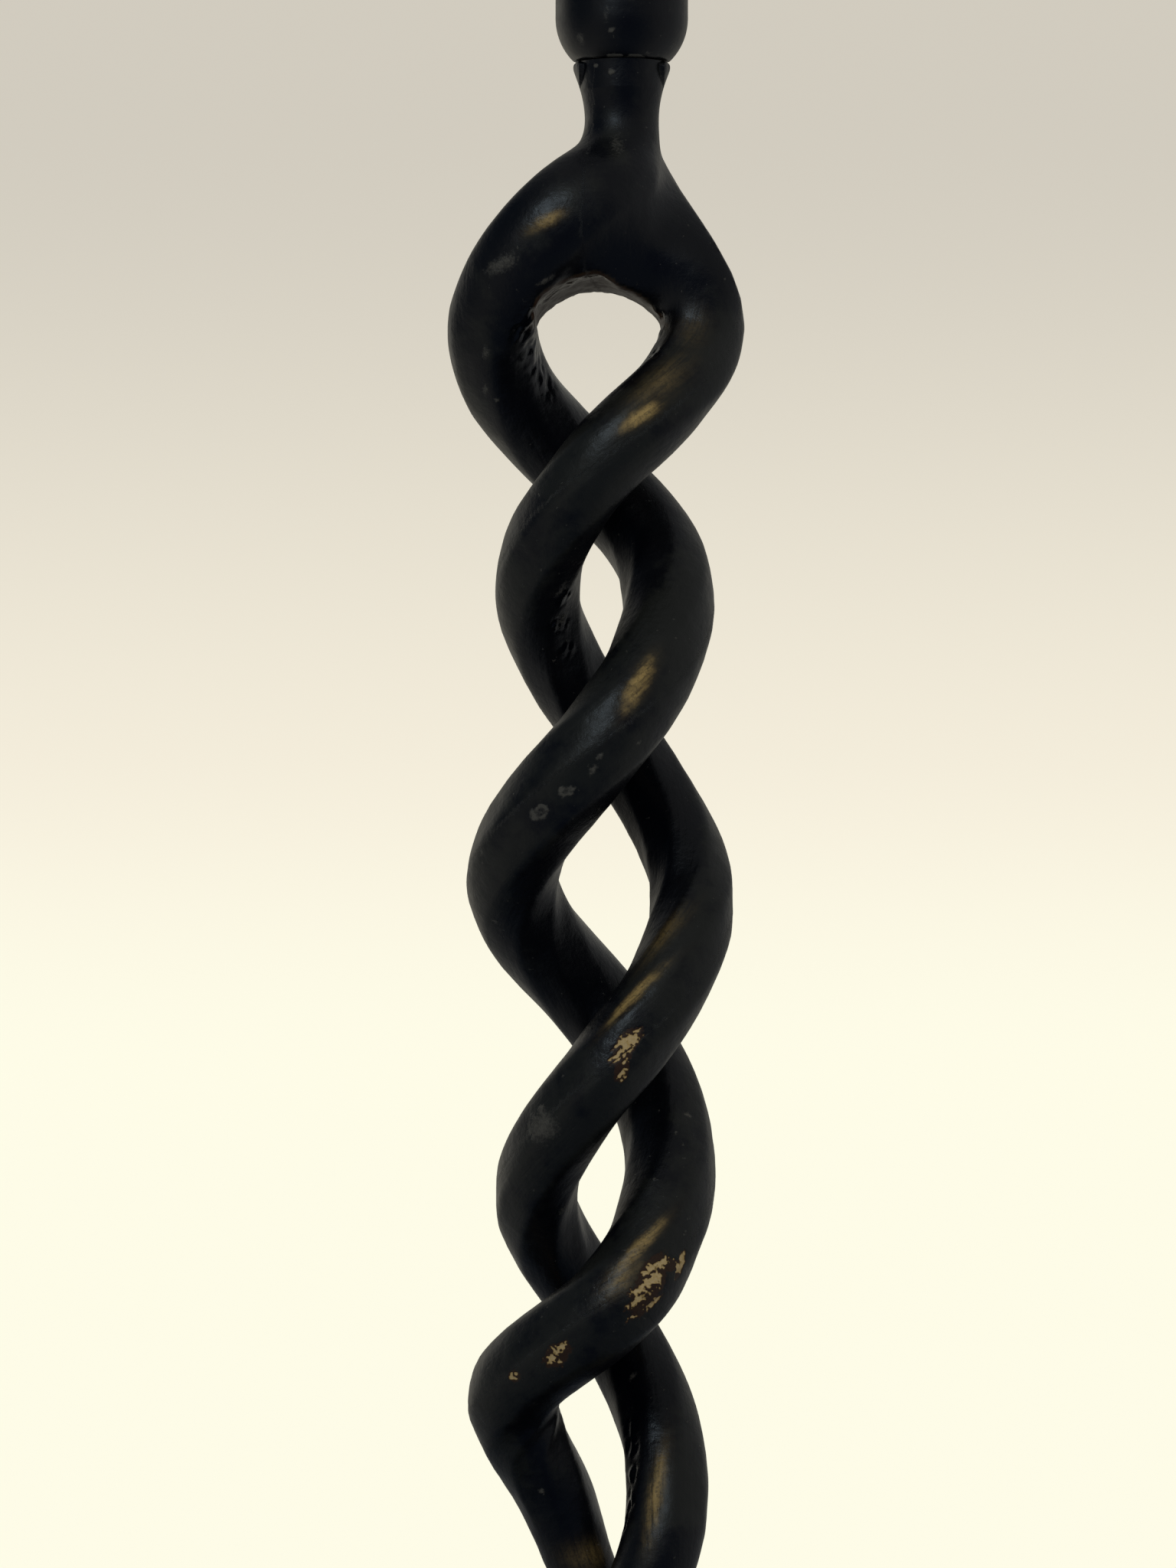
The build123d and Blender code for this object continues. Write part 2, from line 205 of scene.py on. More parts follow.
# %% Describe the room
ROOM_MIDDLE = (0, 0, 0.27)
ROOM_GLOW, ROOM_DARKEST = (0.148, 0.152, 0.156), (0.012, 0.016, 0.026)
ROOM_SPOTS = (
    # degrees from the camera to the right, degrees up, inner and outer angle, light added
    (15, -25, 15, 55, (-0.11, -0.1, -0.075)),
    (5, 0, 8, 30, (-0.06, -0.055, -0.04)),
    (0, -90, 12, 45, (-0.12, -0.11, -0.09)),
    (-82, 25, 15, 46, (-0.115, -0.105, -0.085)),
    (112, 10, 20, 60, (0.05, 0.05, 0.05)),
    (-100, -42, 8, 32, (0.07, 0.065, 0.055)),
    (-135, -5, 10, 40, (0.17, 0.155, 0.12)),
    (180, 0, 20, 60, (0.11, 0.098, 0.065)),
    (-15, 28, 10, 45, (0.06, 0.06, 0.055)),
)


def spot(tree, way, azimuth, height, inner, outer):
    """1 within an inner angle of a direction in the room and 0 beyond an outer one."""
    a, h = math.radians(azimuth), math.radians(height)
    axis = (math.sin(a) * math.cos(h), -math.cos(a) * math.cos(h), math.sin(h))
    along = vector_maths(tree, "DOT_PRODUCT", way, axis)["Value"]
    return stepped(tree, along, math.cos(math.radians(outer)), math.cos(math.radians(inner)))


def room_group():
    tree, given, made = new_group("dim_room", [("Vector", VECTOR, (0, 0, 0))], [("Color", COLOUR)])
    way = vector_maths(tree, "NORMALIZE", given["Vector"])[0]
    light = ROOM_GLOW
    for *place, added in ROOM_SPOTS:
        light = vector_maths(tree, "MULTIPLY_ADD", spot(tree, way, *place), added, light)[0]
    fill(tree, made, {"Color": vector_maths(tree, "MAXIMUM", light, ROOM_DARKEST)[0]})
    return tree


room_light = room_group()
print("room:", len(ROOM_SPOTS), "spots")

# %% [markdown]
# ## The studio
# The picture's background is a plain cream that is brightest low down. A round dish gives the same from every
# side: a flat floor that turns up into a wall far behind the camera's own circle. It is made as a turner makes a
# dish, from an outline carried round the axis. The cream is for the camera only; the lacquer sees the dim room.

# %% Build the studio
FLOOR_RADIUS, COVE_RADIUS, WALL_HEIGHT = 4.2, 0.4, 3.2
COVE_STEPS, STUDIO_SIDES = 12, 96
CREAM_LOW = (1.0, 0.98, 0.81, 1)
CREAM_MIDDLE = (0.94, 0.88, 0.735, 1)
CREAM_HIGH = (0.64, 0.60, 0.52, 1)
MIDDLE_HEIGHTS, HIGH_HEIGHTS = (0.0, 0.32), (0.12, 0.95)
CAMERA_GLOW = 0.98
FLOOR_PAINT = (0.06, 0.058, 0.05, 1)


def lathe(name, outline, segments):
    """A mesh turned about the Z axis from an outline of (radius, height) that runs anticlockwise."""
    bm = bmesh.new()
    rings = []
    for radius, height in outline:
        turns = range(segments if radius > 0 else 1)
        angles = [2 * math.pi * i / segments for i in turns]
        rings.append([bm.verts.new((radius * math.cos(a), radius * math.sin(a), height)) for a in angles])
    for low, high in zip(rings, rings[1:]):
        for i in range(segments):
            j = i + 1
            corners = [low[i % len(low)], low[j % len(low)], high[j % len(high)], high[i % len(high)]]
            bm.faces.new(list(dict.fromkeys(corners)))
    mesh = bpy.data.meshes.new(name)
    bm.to_mesh(mesh)
    bm.free()
    mesh.shade_smooth()
    made = bpy.data.objects.new(name, mesh)
    bpy.context.scene.collection.objects.link(made)
    return made


def studio_material():
    material, tree = empty_material("cream_studio")
    place = add(tree, "ShaderNodeNewGeometry").outputs
    height = add(tree, "ShaderNodeSeparateXYZ", {"Vector": place["Position"]}).outputs["Z"]
    low_half = mixed(tree, stepped(tree, height, *MIDDLE_HEIGHTS), CREAM_LOW, CREAM_MIDDLE)
    cream = mixed(tree, stepped(tree, height, *HIGH_HEIGHTS), low_half, CREAM_HIGH)
    way = vector_maths(tree, "SUBTRACT", place["Position"], ROOM_MIDDLE)[0]
    room = add(tree, "ShaderNodeGroup", {"Vector": way}, node_tree=room_light).outputs["Color"]
    seen = add(tree, "ShaderNodeLightPath").outputs["Is Camera Ray"]
    emission = add(tree, "ShaderNodeEmission", {"Color": mixed(tree, seen, room, cream), "Strength": CAMERA_GLOW})
    diffuse = add(tree, "ShaderNodeBsdfDiffuse", {"Color": FLOOR_PAINT})
    lit = add(tree, "ShaderNodeAddShader", {0: emission.outputs[0], 1: diffuse.outputs[0]})
    clear = add(tree, "ShaderNodeBsdfTransparent")
    faces = {0: place["Backfacing"], 1: lit.outputs[0], 2: clear.outputs[0]}
    both = add(tree, "ShaderNodeMixShader", faces)
    add(tree, "ShaderNodeOutputMaterial", {"Surface": both.outputs[0]})
    return material


def make_studio():
    cove = [math.pi / 2 * i / COVE_STEPS for i in range(COVE_STEPS + 1)]
    wall = FLOOR_RADIUS + COVE_RADIUS
    outline = [(wall, WALL_HEIGHT)]
    outline += [(wall - COVE_RADIUS * (1 - math.cos(a)), COVE_RADIUS * (1 - math.sin(a))) for a in cove]
    outline += [(FLOOR_RADIUS / 2, 0), (0, 0)]
    made = lathe("studio_floor", outline, STUDIO_SIDES)
    made.data.materials.append(studio_material())


make_studio()
bpy.context.scene.view_settings.view_transform = "Standard"
print("studio", FLOOR_RADIUS, "m")

# %% [markdown]
# ## The light
# The room gives most of the light. In the picture a soft bluish sheen runs down the strands that cross in front,
# and the worn wood is clearer than the room alone would make it. So a dim softbox stands to the left of the
# camera, a fainter one at the back on the left, and a larger one in front lights the bare wood; the lacquer
# doesn't mirror that one.

# %% Light the studio
SOFTBOXES = (
    # name, place, width, height, watts, colour, mirrored
    ("left_softbox", (-0.47, -1.28, 1.1), 0.4, 0.4, 1.6, (0.72, 0.88, 1.0), True),
    ("back_softbox", (-1.2, 1.0, 0.3), 0.7, 1.0, 0.3, (1.0, 0.98, 0.92), True),
    ("front_softbox", (0.2, -1.9, 0.9), 1.2, 0.9, 5.0, (1.0, 0.98, 0.95), False),
)


def make_softbox(name, place, width, height, watts, colour, mirrored):
    data = bpy.data.lights.new(name, "AREA")
    data.shape, data.size, data.size_y = "RECTANGLE", width, height
    data.energy, data.color = watts, colour
    made = bpy.data.objects.new(name, data)
    made.location = place
    made.rotation_mode = "QUATERNION"
    made.rotation_quaternion = (Vector(ROOM_MIDDLE) - Vector(place)).to_track_quat("-Z", "Y")
    made.visible_camera, made.visible_glossy = False, mirrored
    bpy.context.scene.collection.objects.link(made)


def make_sky():
    world = bpy.data.worlds.new("room")
    bpy.context.scene.world = world
    world.use_nodes = True
    tree = world.node_tree
    way = add(tree, "ShaderNodeTexCoord").outputs["Generated"]
    room = add(tree, "ShaderNodeGroup", {"Vector": way}, node_tree=room_light).outputs["Color"]
    fill(tree, tree.nodes["Background"], {"Color": room})


for softbox in SOFTBOXES:
    make_softbox(*softbox)
make_sky()
print("lights", len(SOFTBOXES))

# %% [markdown]
# ## A blank to carve
# The stem's solid is exact and smooth, with crisp lines where shapes meet. The real one was shaped with gouge and
# rasp, so those lines are soft and the surface wanders. Sculpting in code needs a mesh of even small faces:
# Blender's voxel remesh gives one from any closed solid. It works on a copy, and the solid itself stays as it is.

# %% Copy a solid as an even mesh
STEM_VOXEL = 0.9 * MM


def blank(node, name, voxel):
    """A copy of a solid's mesh, rebuilt in even quads."""
    piece = bpy.data.objects.new(name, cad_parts[node].data.copy())
    bpy.context.scene.collection.objects.link(piece)
    remesh = piece.modifiers.new("even quads", "REMESH")
    remesh.mode, remesh.voxel_size = "VOXEL", voxel
    even = bpy.data.meshes.new_from_object(piece.evaluated_get(bpy.context.evaluated_depsgraph_get()))
    piece.modifiers.clear()
    piece.data = even
    even.materials.clear()
    even.name = name
    even.shade_smooth()
    return piece


stem = blank("twist_stem", "carved_stem", STEM_VOXEL)
print("stem blank:", len(stem.data.vertices), "points")

# %% [markdown]
# ## All points at once
# A sculptor pushes a mesh about with brushes. In code it is quicker to take all of its points as one array, move
# them together and put them back. The brush used most is the smoothing one: each point goes part of the way to the
# middle of its neighbours.

# %% Read, move and smooth points
def points_of(mesh):
    """The places and normals of a mesh's points as two arrays."""
    places, normals = np.zeros((2, len(mesh.vertices) * 3), np.float32)
    mesh.vertices.foreach_get("co", places)
    mesh.vertices.foreach_get("normal", normals)
    return places.reshape(-1, 3).astype(float), normals.reshape(-1, 3).astype(float)


def move_points(mesh, places):
    mesh.vertices.foreach_set("co", places.astype(np.float32).ravel())
    mesh.update()


def edges_of(mesh):
    ends = np.zeros(len(mesh.edges) * 2, np.int32)
    mesh.edges.foreach_get("vertices", ends)
    return ends.reshape(-1, 2)


def near_mean(values, edges):
    """The mean of each point's neighbours."""
    a, b = edges[:, 0], edges[:, 1]
    count = np.bincount(a, minlength=len(values)) + np.bincount(b, minlength=len(values))
    sums = [
        np.bincount(a, values[b, k], len(values)) + np.bincount(b, values[a, k], len(values))
        for k in range(values.shape[1])
    ]
    return np.stack(sums, 1) / np.maximum(count, 1)[:, None]


def smoothed(places, edges, rounds, share):
    """Each round moves every point by a share of the way to the middle of its neighbours."""
    for _ in range(rounds):
        places = places + (near_mean(places, edges) - places) * share
    return places


print("stem edges:", len(edges_of(stem.data)))

# %% [markdown]
# ## Masks and noise
# A mask is one number for each point, from 0 to 1, that says how much of something happens there. Smooth steps and
# noise make masks with soft and broken edges. Stored on the mesh, a mask can be read by a material too.

# %% Make and store masks
NOISE_SHIFT = Vector((13.7, 7.3, 3.1))


def field(places, size, seed):
    """Smooth noise from about -1 to 1, with features of a size in metres; the same in every run."""
    shift = NOISE_SHIFT * seed
    return np.array([noise.noise(Vector(p) / size + shift) for p in places])


def rise(values, low, high):
    """0 below low, 1 above high, and a smooth step between them."""
    t = np.clip((values - low) / (high - low), 0, 1)
    return t * t * (3 - 2 * t)


def between(values, low, high, soft):
    """1 between low and high, falling to 0 over a soft distance beyond them."""
    return rise(values, low - soft, low) * (1 - rise(values, high, high + soft))


def paint(mesh, name, values):
    """Stores one number for each point, which a material reads by name."""
    mesh.attributes.new(name, "FLOAT", "POINT").data.foreach_set("value", values.astype(np.float32))


def paint_run(mesh, along, across):
    """Stores how far each point lies along and across the run of the wood, for streaks."""
    run = np.stack([along, across, np.zeros(len(along))], 1)
    mesh.attributes.new("run", "FLOAT_VECTOR", "POINT").data.foreach_set("vector", run.astype(np.float32).ravel())


print("noise at the stem's first point:", field(points_of(stem.data)[0][:1], STEM_VOXEL, seed=1).round(3))

# %% [markdown]
# ## Rounding the blank
# A carver blends one form into the next. Moving each point towards the middle of its neighbours does the same:
# hollows fill, ridges soften. A short treatment takes off the voxel steps everywhere; a long one melts the
# shoulder, where two strands and the neck become one piece of wood, and the root where they meet again.
# Smoothing makes round rods thinner, so the points then go out again along their normals.

# %% Round the stem
SHOULDER_HEIGHT, SHOULDER_SPAN = 405 * MM, 26 * MM
ROOT_HEIGHT, ROOT_SPAN = 78 * MM, 16 * MM
TURNED_TOP, TURNED_FOOT = 436 * MM, 58 * MM
ARCH_MIDDLE, ARCH_HEIGHT, ARCH_RADIUS, ARCH_EDGE = -5.4 * MM, 374.6 * MM, 18 * MM, 4 * MM
STEP_ROUNDS, MELT_ROUNDS, GIVE_BACK_ROUNDS = 4, 60, 40
STRAND_SHARE, MELT_SHARE, GIVE_BACK = 0.08, 0.42, (-0.2 * MM, 0.6 * MM)


def off_arch(places):
    """0 at the edge of the arch over the first opening, which stays crisp, and 1 away from it."""
    away = np.hypot(places[:, 0] - ARCH_MIDDLE, places[:, 2] - ARCH_HEIGHT)
    clear = rise(away, ARCH_RADIUS + 0.3 * ARCH_EDGE, ARCH_RADIUS + ARCH_EDGE)
    return np.where(places[:, 2] > ARCH_HEIGHT, clear, 1)


def round_stem(piece):
    mesh = piece.data
    edges = edges_of(mesh)
    places = smoothed(points_of(mesh)[0], edges, STEP_ROUNDS, 0.5)
    height = places[:, 2]
    melt = np.maximum(
        1 - rise(abs(height - SHOULDER_HEIGHT), 0.55 * SHOULDER_SPAN, SHOULDER_SPAN),
        1 - rise(abs(height - ROOT_HEIGHT), 0.5 * ROOT_SPAN, ROOT_SPAN),
    )
    strand = rise(height, TURNED_FOOT, TURNED_FOOT + 6 * MM) * (1 - rise(height, TURNED_TOP - 4 * MM, TURNED_TOP))
    share = (STRAND_SHARE * strand + MELT_SHARE * melt * off_arch(places))[:, None]
    soft = smoothed(places, edges, MELT_ROUNDS, share)
    move_points(mesh, soft)
    normals = points_of(mesh)[1]
    lost = ((places - soft) * normals).sum(1)
    lost = smoothed(lost[:, None], edges, GIVE_BACK_ROUNDS, 0.5)
    move_points(mesh, soft + normals * np.clip(lost, *GIVE_BACK))


round_stem(stem)
print("stem rounded")

# %% [markdown]
# ## The shoulder
# Under the neck, the real stem has a shield of wood between the two strands, which faces the viewer down to the
# crisp edge of the arch over the first opening. The blank leans back there and has hollows. So the right of its
# front comes forward, hollows are brought out to the ridges beside them, and the corner at the neck is eased. New
# wood could be modelled and joined instead, but a seam would show in the lacquer.

# %% Shape the shoulder
SHIELD_LOW, SHIELD_HIGH = 384 * MM, 432 * MM
SHIELD_LEFT, SHIELD_RIGHT, SHIELD_FORWARD = -17 * MM, 17 * MM, 15 * MM
FILLET_LOW, FILLET_HIGH = 416 * MM, 442 * MM
NECK_CORNER, CORNER_REACH = np.array([-5, -8, 427]) * MM, 11 * MM
FILL_ROUNDS, CORNER_ROUNDS, FILL_SHARE, EVEN_SHARE = 320, 90, 0.9, 0.6


def face_shoulder(mesh):
    """Brings the right of the shoulder's front forward, so that the shield between the strands faces the viewer."""
    places, normals = points_of(mesh)
    across = rise(places[:, 0], SHIELD_LEFT, SHIELD_RIGHT)
    up = rise(places[:, 2], SHIELD_LOW - 6 * MM, SHOULDER_HEIGHT - 2 * MM)
    up *= 1 - rise(places[:, 2], SHOULDER_HEIGHT, SHIELD_HIGH - 4 * MM)
    places[:, 1] -= SHIELD_FORWARD * across * up * rise(-normals[:, 1], -0.35, 0.35)
    move_points(mesh, places)


def fill_hollows(mesh):
    """Brings hollows in the shoulder's front and back forward to its ridges, and fills the corner at the neck."""
    places, normals = points_of(mesh)
    edges = edges_of(mesh)
    edges = edges[places[edges[:, 0], 2] > SHIELD_LOW - 10 * MM]
    shield = between(places[:, 2], SHIELD_LOW, SHIELD_HIGH, 8 * MM) * rise(abs(normals[:, 1]), 0.2, 0.55)
    shield *= off_arch(places)
    fillet = between(places[:, 2], FILLET_LOW, FILLET_HIGH, 5 * MM)
    facing = np.sign(normals[:, 1])
    for _ in range(FILL_ROUNDS):
        pull = near_mean(places, edges) - places
        out = np.maximum((pull * normals).sum(1), 0) * fillet
        depth = np.maximum(pull[:, 1] * facing, 0) * shield
        places = places + normals * (FILL_SHARE * out)[:, None]
        places[:, 1] += FILL_SHARE * depth * facing
    for _ in range(FILL_ROUNDS):
        places[:, 1] += EVEN_SHARE * shield * (near_mean(places, edges) - places)[:, 1]
    corner = np.exp(-((places - NECK_CORNER) ** 2).sum(1) / CORNER_REACH**2)
    move_points(mesh, smoothed(places, edges, CORNER_ROUNDS, EVEN_SHARE * corner[:, None]))


face_shoulder(stem.data)
fill_hollows(stem.data)
print("shoulder shaped")

# %% [markdown]
# ## The run of the strands
# A carver works along the wood, so tool flats, streaks and rubs follow the strands. Slices through the blank, from
# the top of the twist to its foot, give the middle of each strand, and the row of middles is its line. Each point
# of the surface then knows which strand it is on, how far along it lies and the angle round it.

# %% Follow the strands
TWIST_HIGH, TWIST_LOW, SLICE, EVENED = 380 * MM, 100 * MM, 2 * MM, 6
FIRST_CENTRES = np.array([[-30, 0], [20, 0]]) * MM
STRAND_RADIUS = 11 * MM


def strand_lines(places):
    """The middle line of each strand, followed from slice to slice down the twist and evened out."""
    heights = np.arange(TWIST_HIGH, TWIST_LOW, -SLICE)
    centres, lines = FIRST_CENTRES.copy(), []
    for height in heights:
        cut = places[abs(places[:, 2] - height) < SLICE / 2][:, :2]
        nearer = ((cut[:, None] - centres) ** 2).sum(2).argmin(1)
        centres = np.array([cut[nearer == k].mean(0) for k in (0, 1)])
        lines.append(centres)
    window = np.hanning(2 * EVENED + 1)
    window /= window.sum()
    padded = np.pad(np.array(lines), ((EVENED, EVENED), (0, 0), (0, 0)), "edge")
    even = [[np.convolve(padded[:, k, i], window, "valid") for i in (0, 1)] + [heights] for k in (0, 1)]
    return np.array(even).transpose(0, 2, 1)


def unit(vectors):
    return vectors / np.linalg.norm(vectors, axis=-1, keepdims=True)


def strand_places(places, lines):
    """For each point: which strand it is on, how far along that strand, and the angle round it."""
    best = np.full(len(places), np.inf)
    found = np.zeros((len(places), 3))
    for k, line in enumerate(lines):
        run = unit(np.gradient(line, axis=0))
        side = unit(np.cross(run, (0, 0, 1)))
        travel = np.append(0, np.cumsum(np.linalg.norm(np.diff(line, axis=0), axis=1)))
        gaps = (places**2).sum(1)[:, None] - 2 * places @ line.T + (line**2).sum(1)
        nearest = gaps.argmin(1)
        ahead = ((places - line[nearest]) * run[nearest]).sum(1)
        along = travel[nearest] + ahead
        middle, side, run = (
            np.stack([np.interp(along, travel, table[:, i]) for i in range(3)], 1) for table in (line, side, run)
        )
        offset = places - middle
        turn = np.arctan2((offset * np.cross(side, run)).sum(1), (offset * side).sum(1))
        away = np.linalg.norm(offset, axis=1)
        near = away < best
        best[near] = away[near]
        found[near] = np.stack([np.full(len(places), k), along, turn], 1)[near]
    return found.T


strand_middles = strand_lines(points_of(stem.data)[0])
print("strand lines:", strand_middles.shape)

# %% [markdown]
# ## Where the picture shows its marks
# An old lacquer is a record of hands and knocks. Rubbed, scuffed, chipped and thinly lacquered places, the last
# with a painted sheen too, and old knots, are listed by the pixel where each is seen: its middle, half its length
# and width in pixels, its slope in degrees and its strength. They could be painted onto the mesh by hand, but a
# list can be checked and changed.

# %% List the marks
RUBS = (
    (712, 289, 26, 9, 28, 0.75),
    (838, 542, 32, 10, 36, 1.0),
    (862, 498, 56, 22, 52, 0.24),
    (834, 893, 40, 12, 64, 0.95),
    (828, 1300, 58, 8, 54, 0.85),
    (868, 1222, 50, 12, 66, 0.22),
    (836, 1628, 52, 9, 54, 0.75),
    (812, 1668, 34, 16, 45, 0.4),
    (856, 1950, 66, 11, 88, 0.7),
    (765, 2032, 34, 22, 0, 0.22),
    (905, 430, 34, 22, 80, 0.1),
)
SCUFFS = (
    (775, 1006, 11, 6, 55, 0.7),
    (783, 988, 7, 5, 60, 0.7),
    (835, 970, 5, 4, 0, 0.8),
    (708, 1472, 32, 28, 30, 0.6),
    (900, 1455, 7, 4, -30, 0.9),
    (883, 1478, 4, 4, 0, 0.6),
    (655, 345, 34, 14, 25, 0.6),
    (713, 366, 20, 5, 30, 0.6),
    (634, 460, 14, 7, 80, 0.6),
    (634, 510, 16, 6, 80, 0.6),
    (648, 523, 4, 4, 0, 0.8),
    (630, 1115, 10, 4, 75, 0.5),
    (648, 1205, 9, 3, -30, 0.7),
    (648, 1025, 26, 5, 55, 0.5),
    (733, 770, 22, 8, 75, 0.45),
    (735, 810, 26, 12, 80, 0.4),
    (735, 1580, 14, 8, 80, 0.5),
    (826, 1797, 10, 5, 45, 0.6),
    (707, 1948, 5, 5, 0, 0.8),
    (797, 93, 6, 5, 0, 0.9),
    (774, 85, 5, 3, 0, 0.9),
    (806, 190, 30, 14, 90, 0.4),
    (806, 165, 12, 6, 0, 0.35),
)
KNOTS = ((705, 1062, 14, 11, 20, 0.9), (740, 1034, 12, 8, 25, 0.8), (700, 1466, 22, 18, 40, 0.5))
CHIPS = (
    (818, 1366, 30, 12, 55, 1.0),
    (812, 1398, 16, 9, 75, 1.0),
    (848, 1680, 42, 18, 62, 1.0),
    (868, 1652, 20, 9, 0, 1.0),
    (888, 1655, 18, 6, 62, 0.9),
    (728, 1770, 22, 13, 50, 1.0),
    (671, 1798, 8, 8, 90, 0.9),
)
CUP_SCUFFS = (
    (758, 50, 14, 9, 60, 0.5),
    (792, 18, 6, 16, 0, 0.4),
    (880, 58, 10, 12, 120, 0.35),
    (799, 39, 6, 4, 30, 0.9),
)
# Thin lacquer and a painted sheen: lighter olive where the light falls on the shoulder, neck and two strands
THIN_PAINTED_SHEEN_PLACES = (
    (735, 262, 110, 36, 41, 1.0),
    (806, 198, 50, 26, 90, 1.0),
    (636, 470, 44, 16, 80, 1.0),
    (905, 470, 70, 34, 70, 1.0),
)
print("marks listed:", sum(map(len, (RUBS, SCUFFS, KNOTS, CHIPS, CUP_SCUFFS, THIN_PAINTED_SHEEN_PLACES))))

# %% [markdown]
# ## Marks on the wood
# A ray from the camera through a mark's pixel finds the point on the wood, and from there on the mark belongs to
# the wood, whatever side it is seen from. The back, which the picture doesn't show, gets marks of the same kinds
# at places drawn from a seeded random source.

# %% Find the marks on the wood
BACK_MARKS, BACK_SEED, BACK_START = 26, 11, 0.2
BACK_TURNS, BACK_HEIGHTS = (math.radians(80), math.radians(280)), (85, 425)
BACK_ASIDE, BACK_SIZES, BACK_SLIM, BACK_STRENGTHS = (-25, 25), (2, 8), (0.25, 0.6), (0.4, 1.0)


def tree_of(mesh):
    return BVHTree.FromPolygons([v.co for v in mesh.vertices], [p.vertices for p in mesh.polygons])


def camera_ray(tree, column, row):
    """The point and normal of the wood that a pixel shows."""
    start = camera.location
    return tree.ray_cast(start, (picture_point(column, row) - start).normalized())[:2]


def picture_marks(tree, rows):
    """Each listed mark as (place, normal, direction, half length, half width, strength)."""
    marks = []
    for column, row, length, width, slope, strength in rows:
        place, normal = camera_ray(tree, column, row)
        if place is not None:
            angle = math.radians(slope)
            along = Vector((math.cos(angle), 0, math.sin(angle)))
            marks.append((place, normal, along, length * PIXEL, width * PIXEL, strength))
    return marks


def back_marks(tree, count, rng):
    """Seeded marks on the sides that the picture doesn't show, along the run of the strands."""
    marks = []
    while len(marks) < count:
        turn = rng.uniform(*BACK_TURNS)
        out = Vector((math.sin(turn), -math.cos(turn), 0))
        side = Vector((out.y, -out.x, 0)) * rng.uniform(*BACK_ASIDE) * MM
        start = out * BACK_START + side + Vector((0, 0, rng.uniform(*BACK_HEIGHTS) * MM))
        place, normal, _, _ = tree.ray_cast(start, -out)
        size, slim = rng.uniform(*BACK_SIZES) * MM, rng.uniform(*BACK_SLIM)
        if place is not None and normal.dot(out) > 0.5 and normal.y > 0.45:
            along = Vector((-out.y, out.x, 1.2)) if rng.random() < 0.8 else Vector((0, 0, 1))
            marks.append((place, normal, along, size, size * slim, rng.uniform(*BACK_STRENGTHS)))
    return marks


stem_tree = tree_of(stem.data)
rng = random.Random(BACK_SEED)
rubs = picture_marks(stem_tree, RUBS) + back_marks(stem_tree, BACK_MARKS // 2, rng)
scuffs = picture_marks(stem_tree, SCUFFS) + back_marks(stem_tree, BACK_MARKS, rng)
knots = picture_marks(stem_tree, KNOTS)
thin_painted_sheen_places = picture_marks(stem_tree, THIN_PAINTED_SHEEN_PLACES)
chips = picture_marks(stem_tree, CHIPS) + [
    (p, n, a, l / 2, w / 2, s) for p, n, a, l, w, s in back_marks(stem_tree, BACK_MARKS // 2, rng)
]
print("marks found:", len(rubs), "rubs,", len(scuffs), "scuffs,", len(chips), "chips")

# %% [markdown]
# ## Finer faces where the detail is
# A flake of lost lacquer is a millimetre across and a quarter of a millimetre deep, finer than the mesh. Making
# the whole mesh that fine would be slow, so only the faces near a chip, the split collar and the rough cuts inside
# the openings are divided again. The rough cuts are listed by pixel too, each with its reach in pixels.

# %% Divide faces near the detail
COLLAR_FOOT, COLLAR_FRONT = 440 * MM, 3 * MM
EASE_ROUNDS = 3
ROUGH_PIXELS = (
    ((690, 430, 34), (694, 455, 34), (704, 480, 30), (716, 505, 26), (700, 412, 30), (722, 396, 26))
    + ((745, 384, 22), (765, 376, 20), (785, 374, 16), (858, 410, 18), (862, 436, 18), (852, 462, 18))
    + ((822, 1862, 20), (824, 1890, 20), (824, 1925, 20), (822, 1960, 20), (816, 1990, 18))
    + ((736, 780, 20), (732, 815, 22), (742, 850, 18))
)


def refine(mesh, wanted, rounds):
    """Divides the faces whose points are wanted, and eases the new points onto the curve of the old ones."""
    for _ in range(rounds):
        chosen = wanted(points_of(mesh)[0])
        bm = bmesh.new()
        bm.from_mesh(mesh)
        bm.verts.ensure_lookup_table()
        edges = [e for e in bm.edges if chosen[e.verts[0].index] and chosen[e.verts[1].index]]
        bmesh.ops.subdivide_edges(bm, edges=edges, cuts=1, use_grid_fill=True)
        bm.to_mesh(mesh)
        bm.free()
        edges = edges_of(mesh)
        places, normals = points_of(mesh)
        near = wanted(places)
        for _ in range(EASE_ROUNDS):
            ease = ((near_mean(places, edges) - places) * normals).sum(1) * near
            places = places + normals * (0.5 * ease)[:, None]
        move_points(mesh, places)
    mesh.shade_smooth()


def apart(places, spots):
    """How far each place lies from the nearest spot, in reaches of that spot."""
    return np.min([np.linalg.norm(places - np.array(middle), axis=1) / reach for middle, reach in spots], 0)


def wants_detail(places):
    spots = [(m[0], 1.5 * max(m[3], m[4]) + 0.6 * MM) for m in chips]
    collar = (places[:, 2] > COLLAR_FOOT) & (places[:, 1] < COLLAR_FRONT)
    return collar | (apart(places, spots) < 1)


rough_spots = [(camera_ray(stem_tree, c, r)[0], reach * PIXEL) for c, r, reach in ROUGH_PIXELS]
rough_spots = [(place, reach) for place, reach in rough_spots if place is not None]
refine(stem.data, lambda places: apart(places, rough_spots) < 1, 1)
refine(stem.data, wants_detail, 2)
print("stem after refining:", len(stem.data.vertices), "points")

# %% [markdown]
# ## Kinds of wear
# Wear has different edges. Lacquer flakes off in small bits with hard edges and leaves a dark brown rim round the
# bare wood: a brown ground with a painted edge shadow. A rub fades out, round a core with a broken edge. An old knot
# shows as a pale ring. Each kind is a function that turns a list of marks into a mask, so that the turned pieces can
# use them too.

# %% Describe the wear
# Ring round chips: brown ground and painted edge shadow; the arch's underside takes the same level
FAR_OUTSIDE, BROWN_GROUND_AND_SHADOW = -9, 0.3
BIT_SIZE, CRUMB_SIZE, KNOT_SIZE = 1.35 * MM, 0.7 * MM, 1.6 * MM


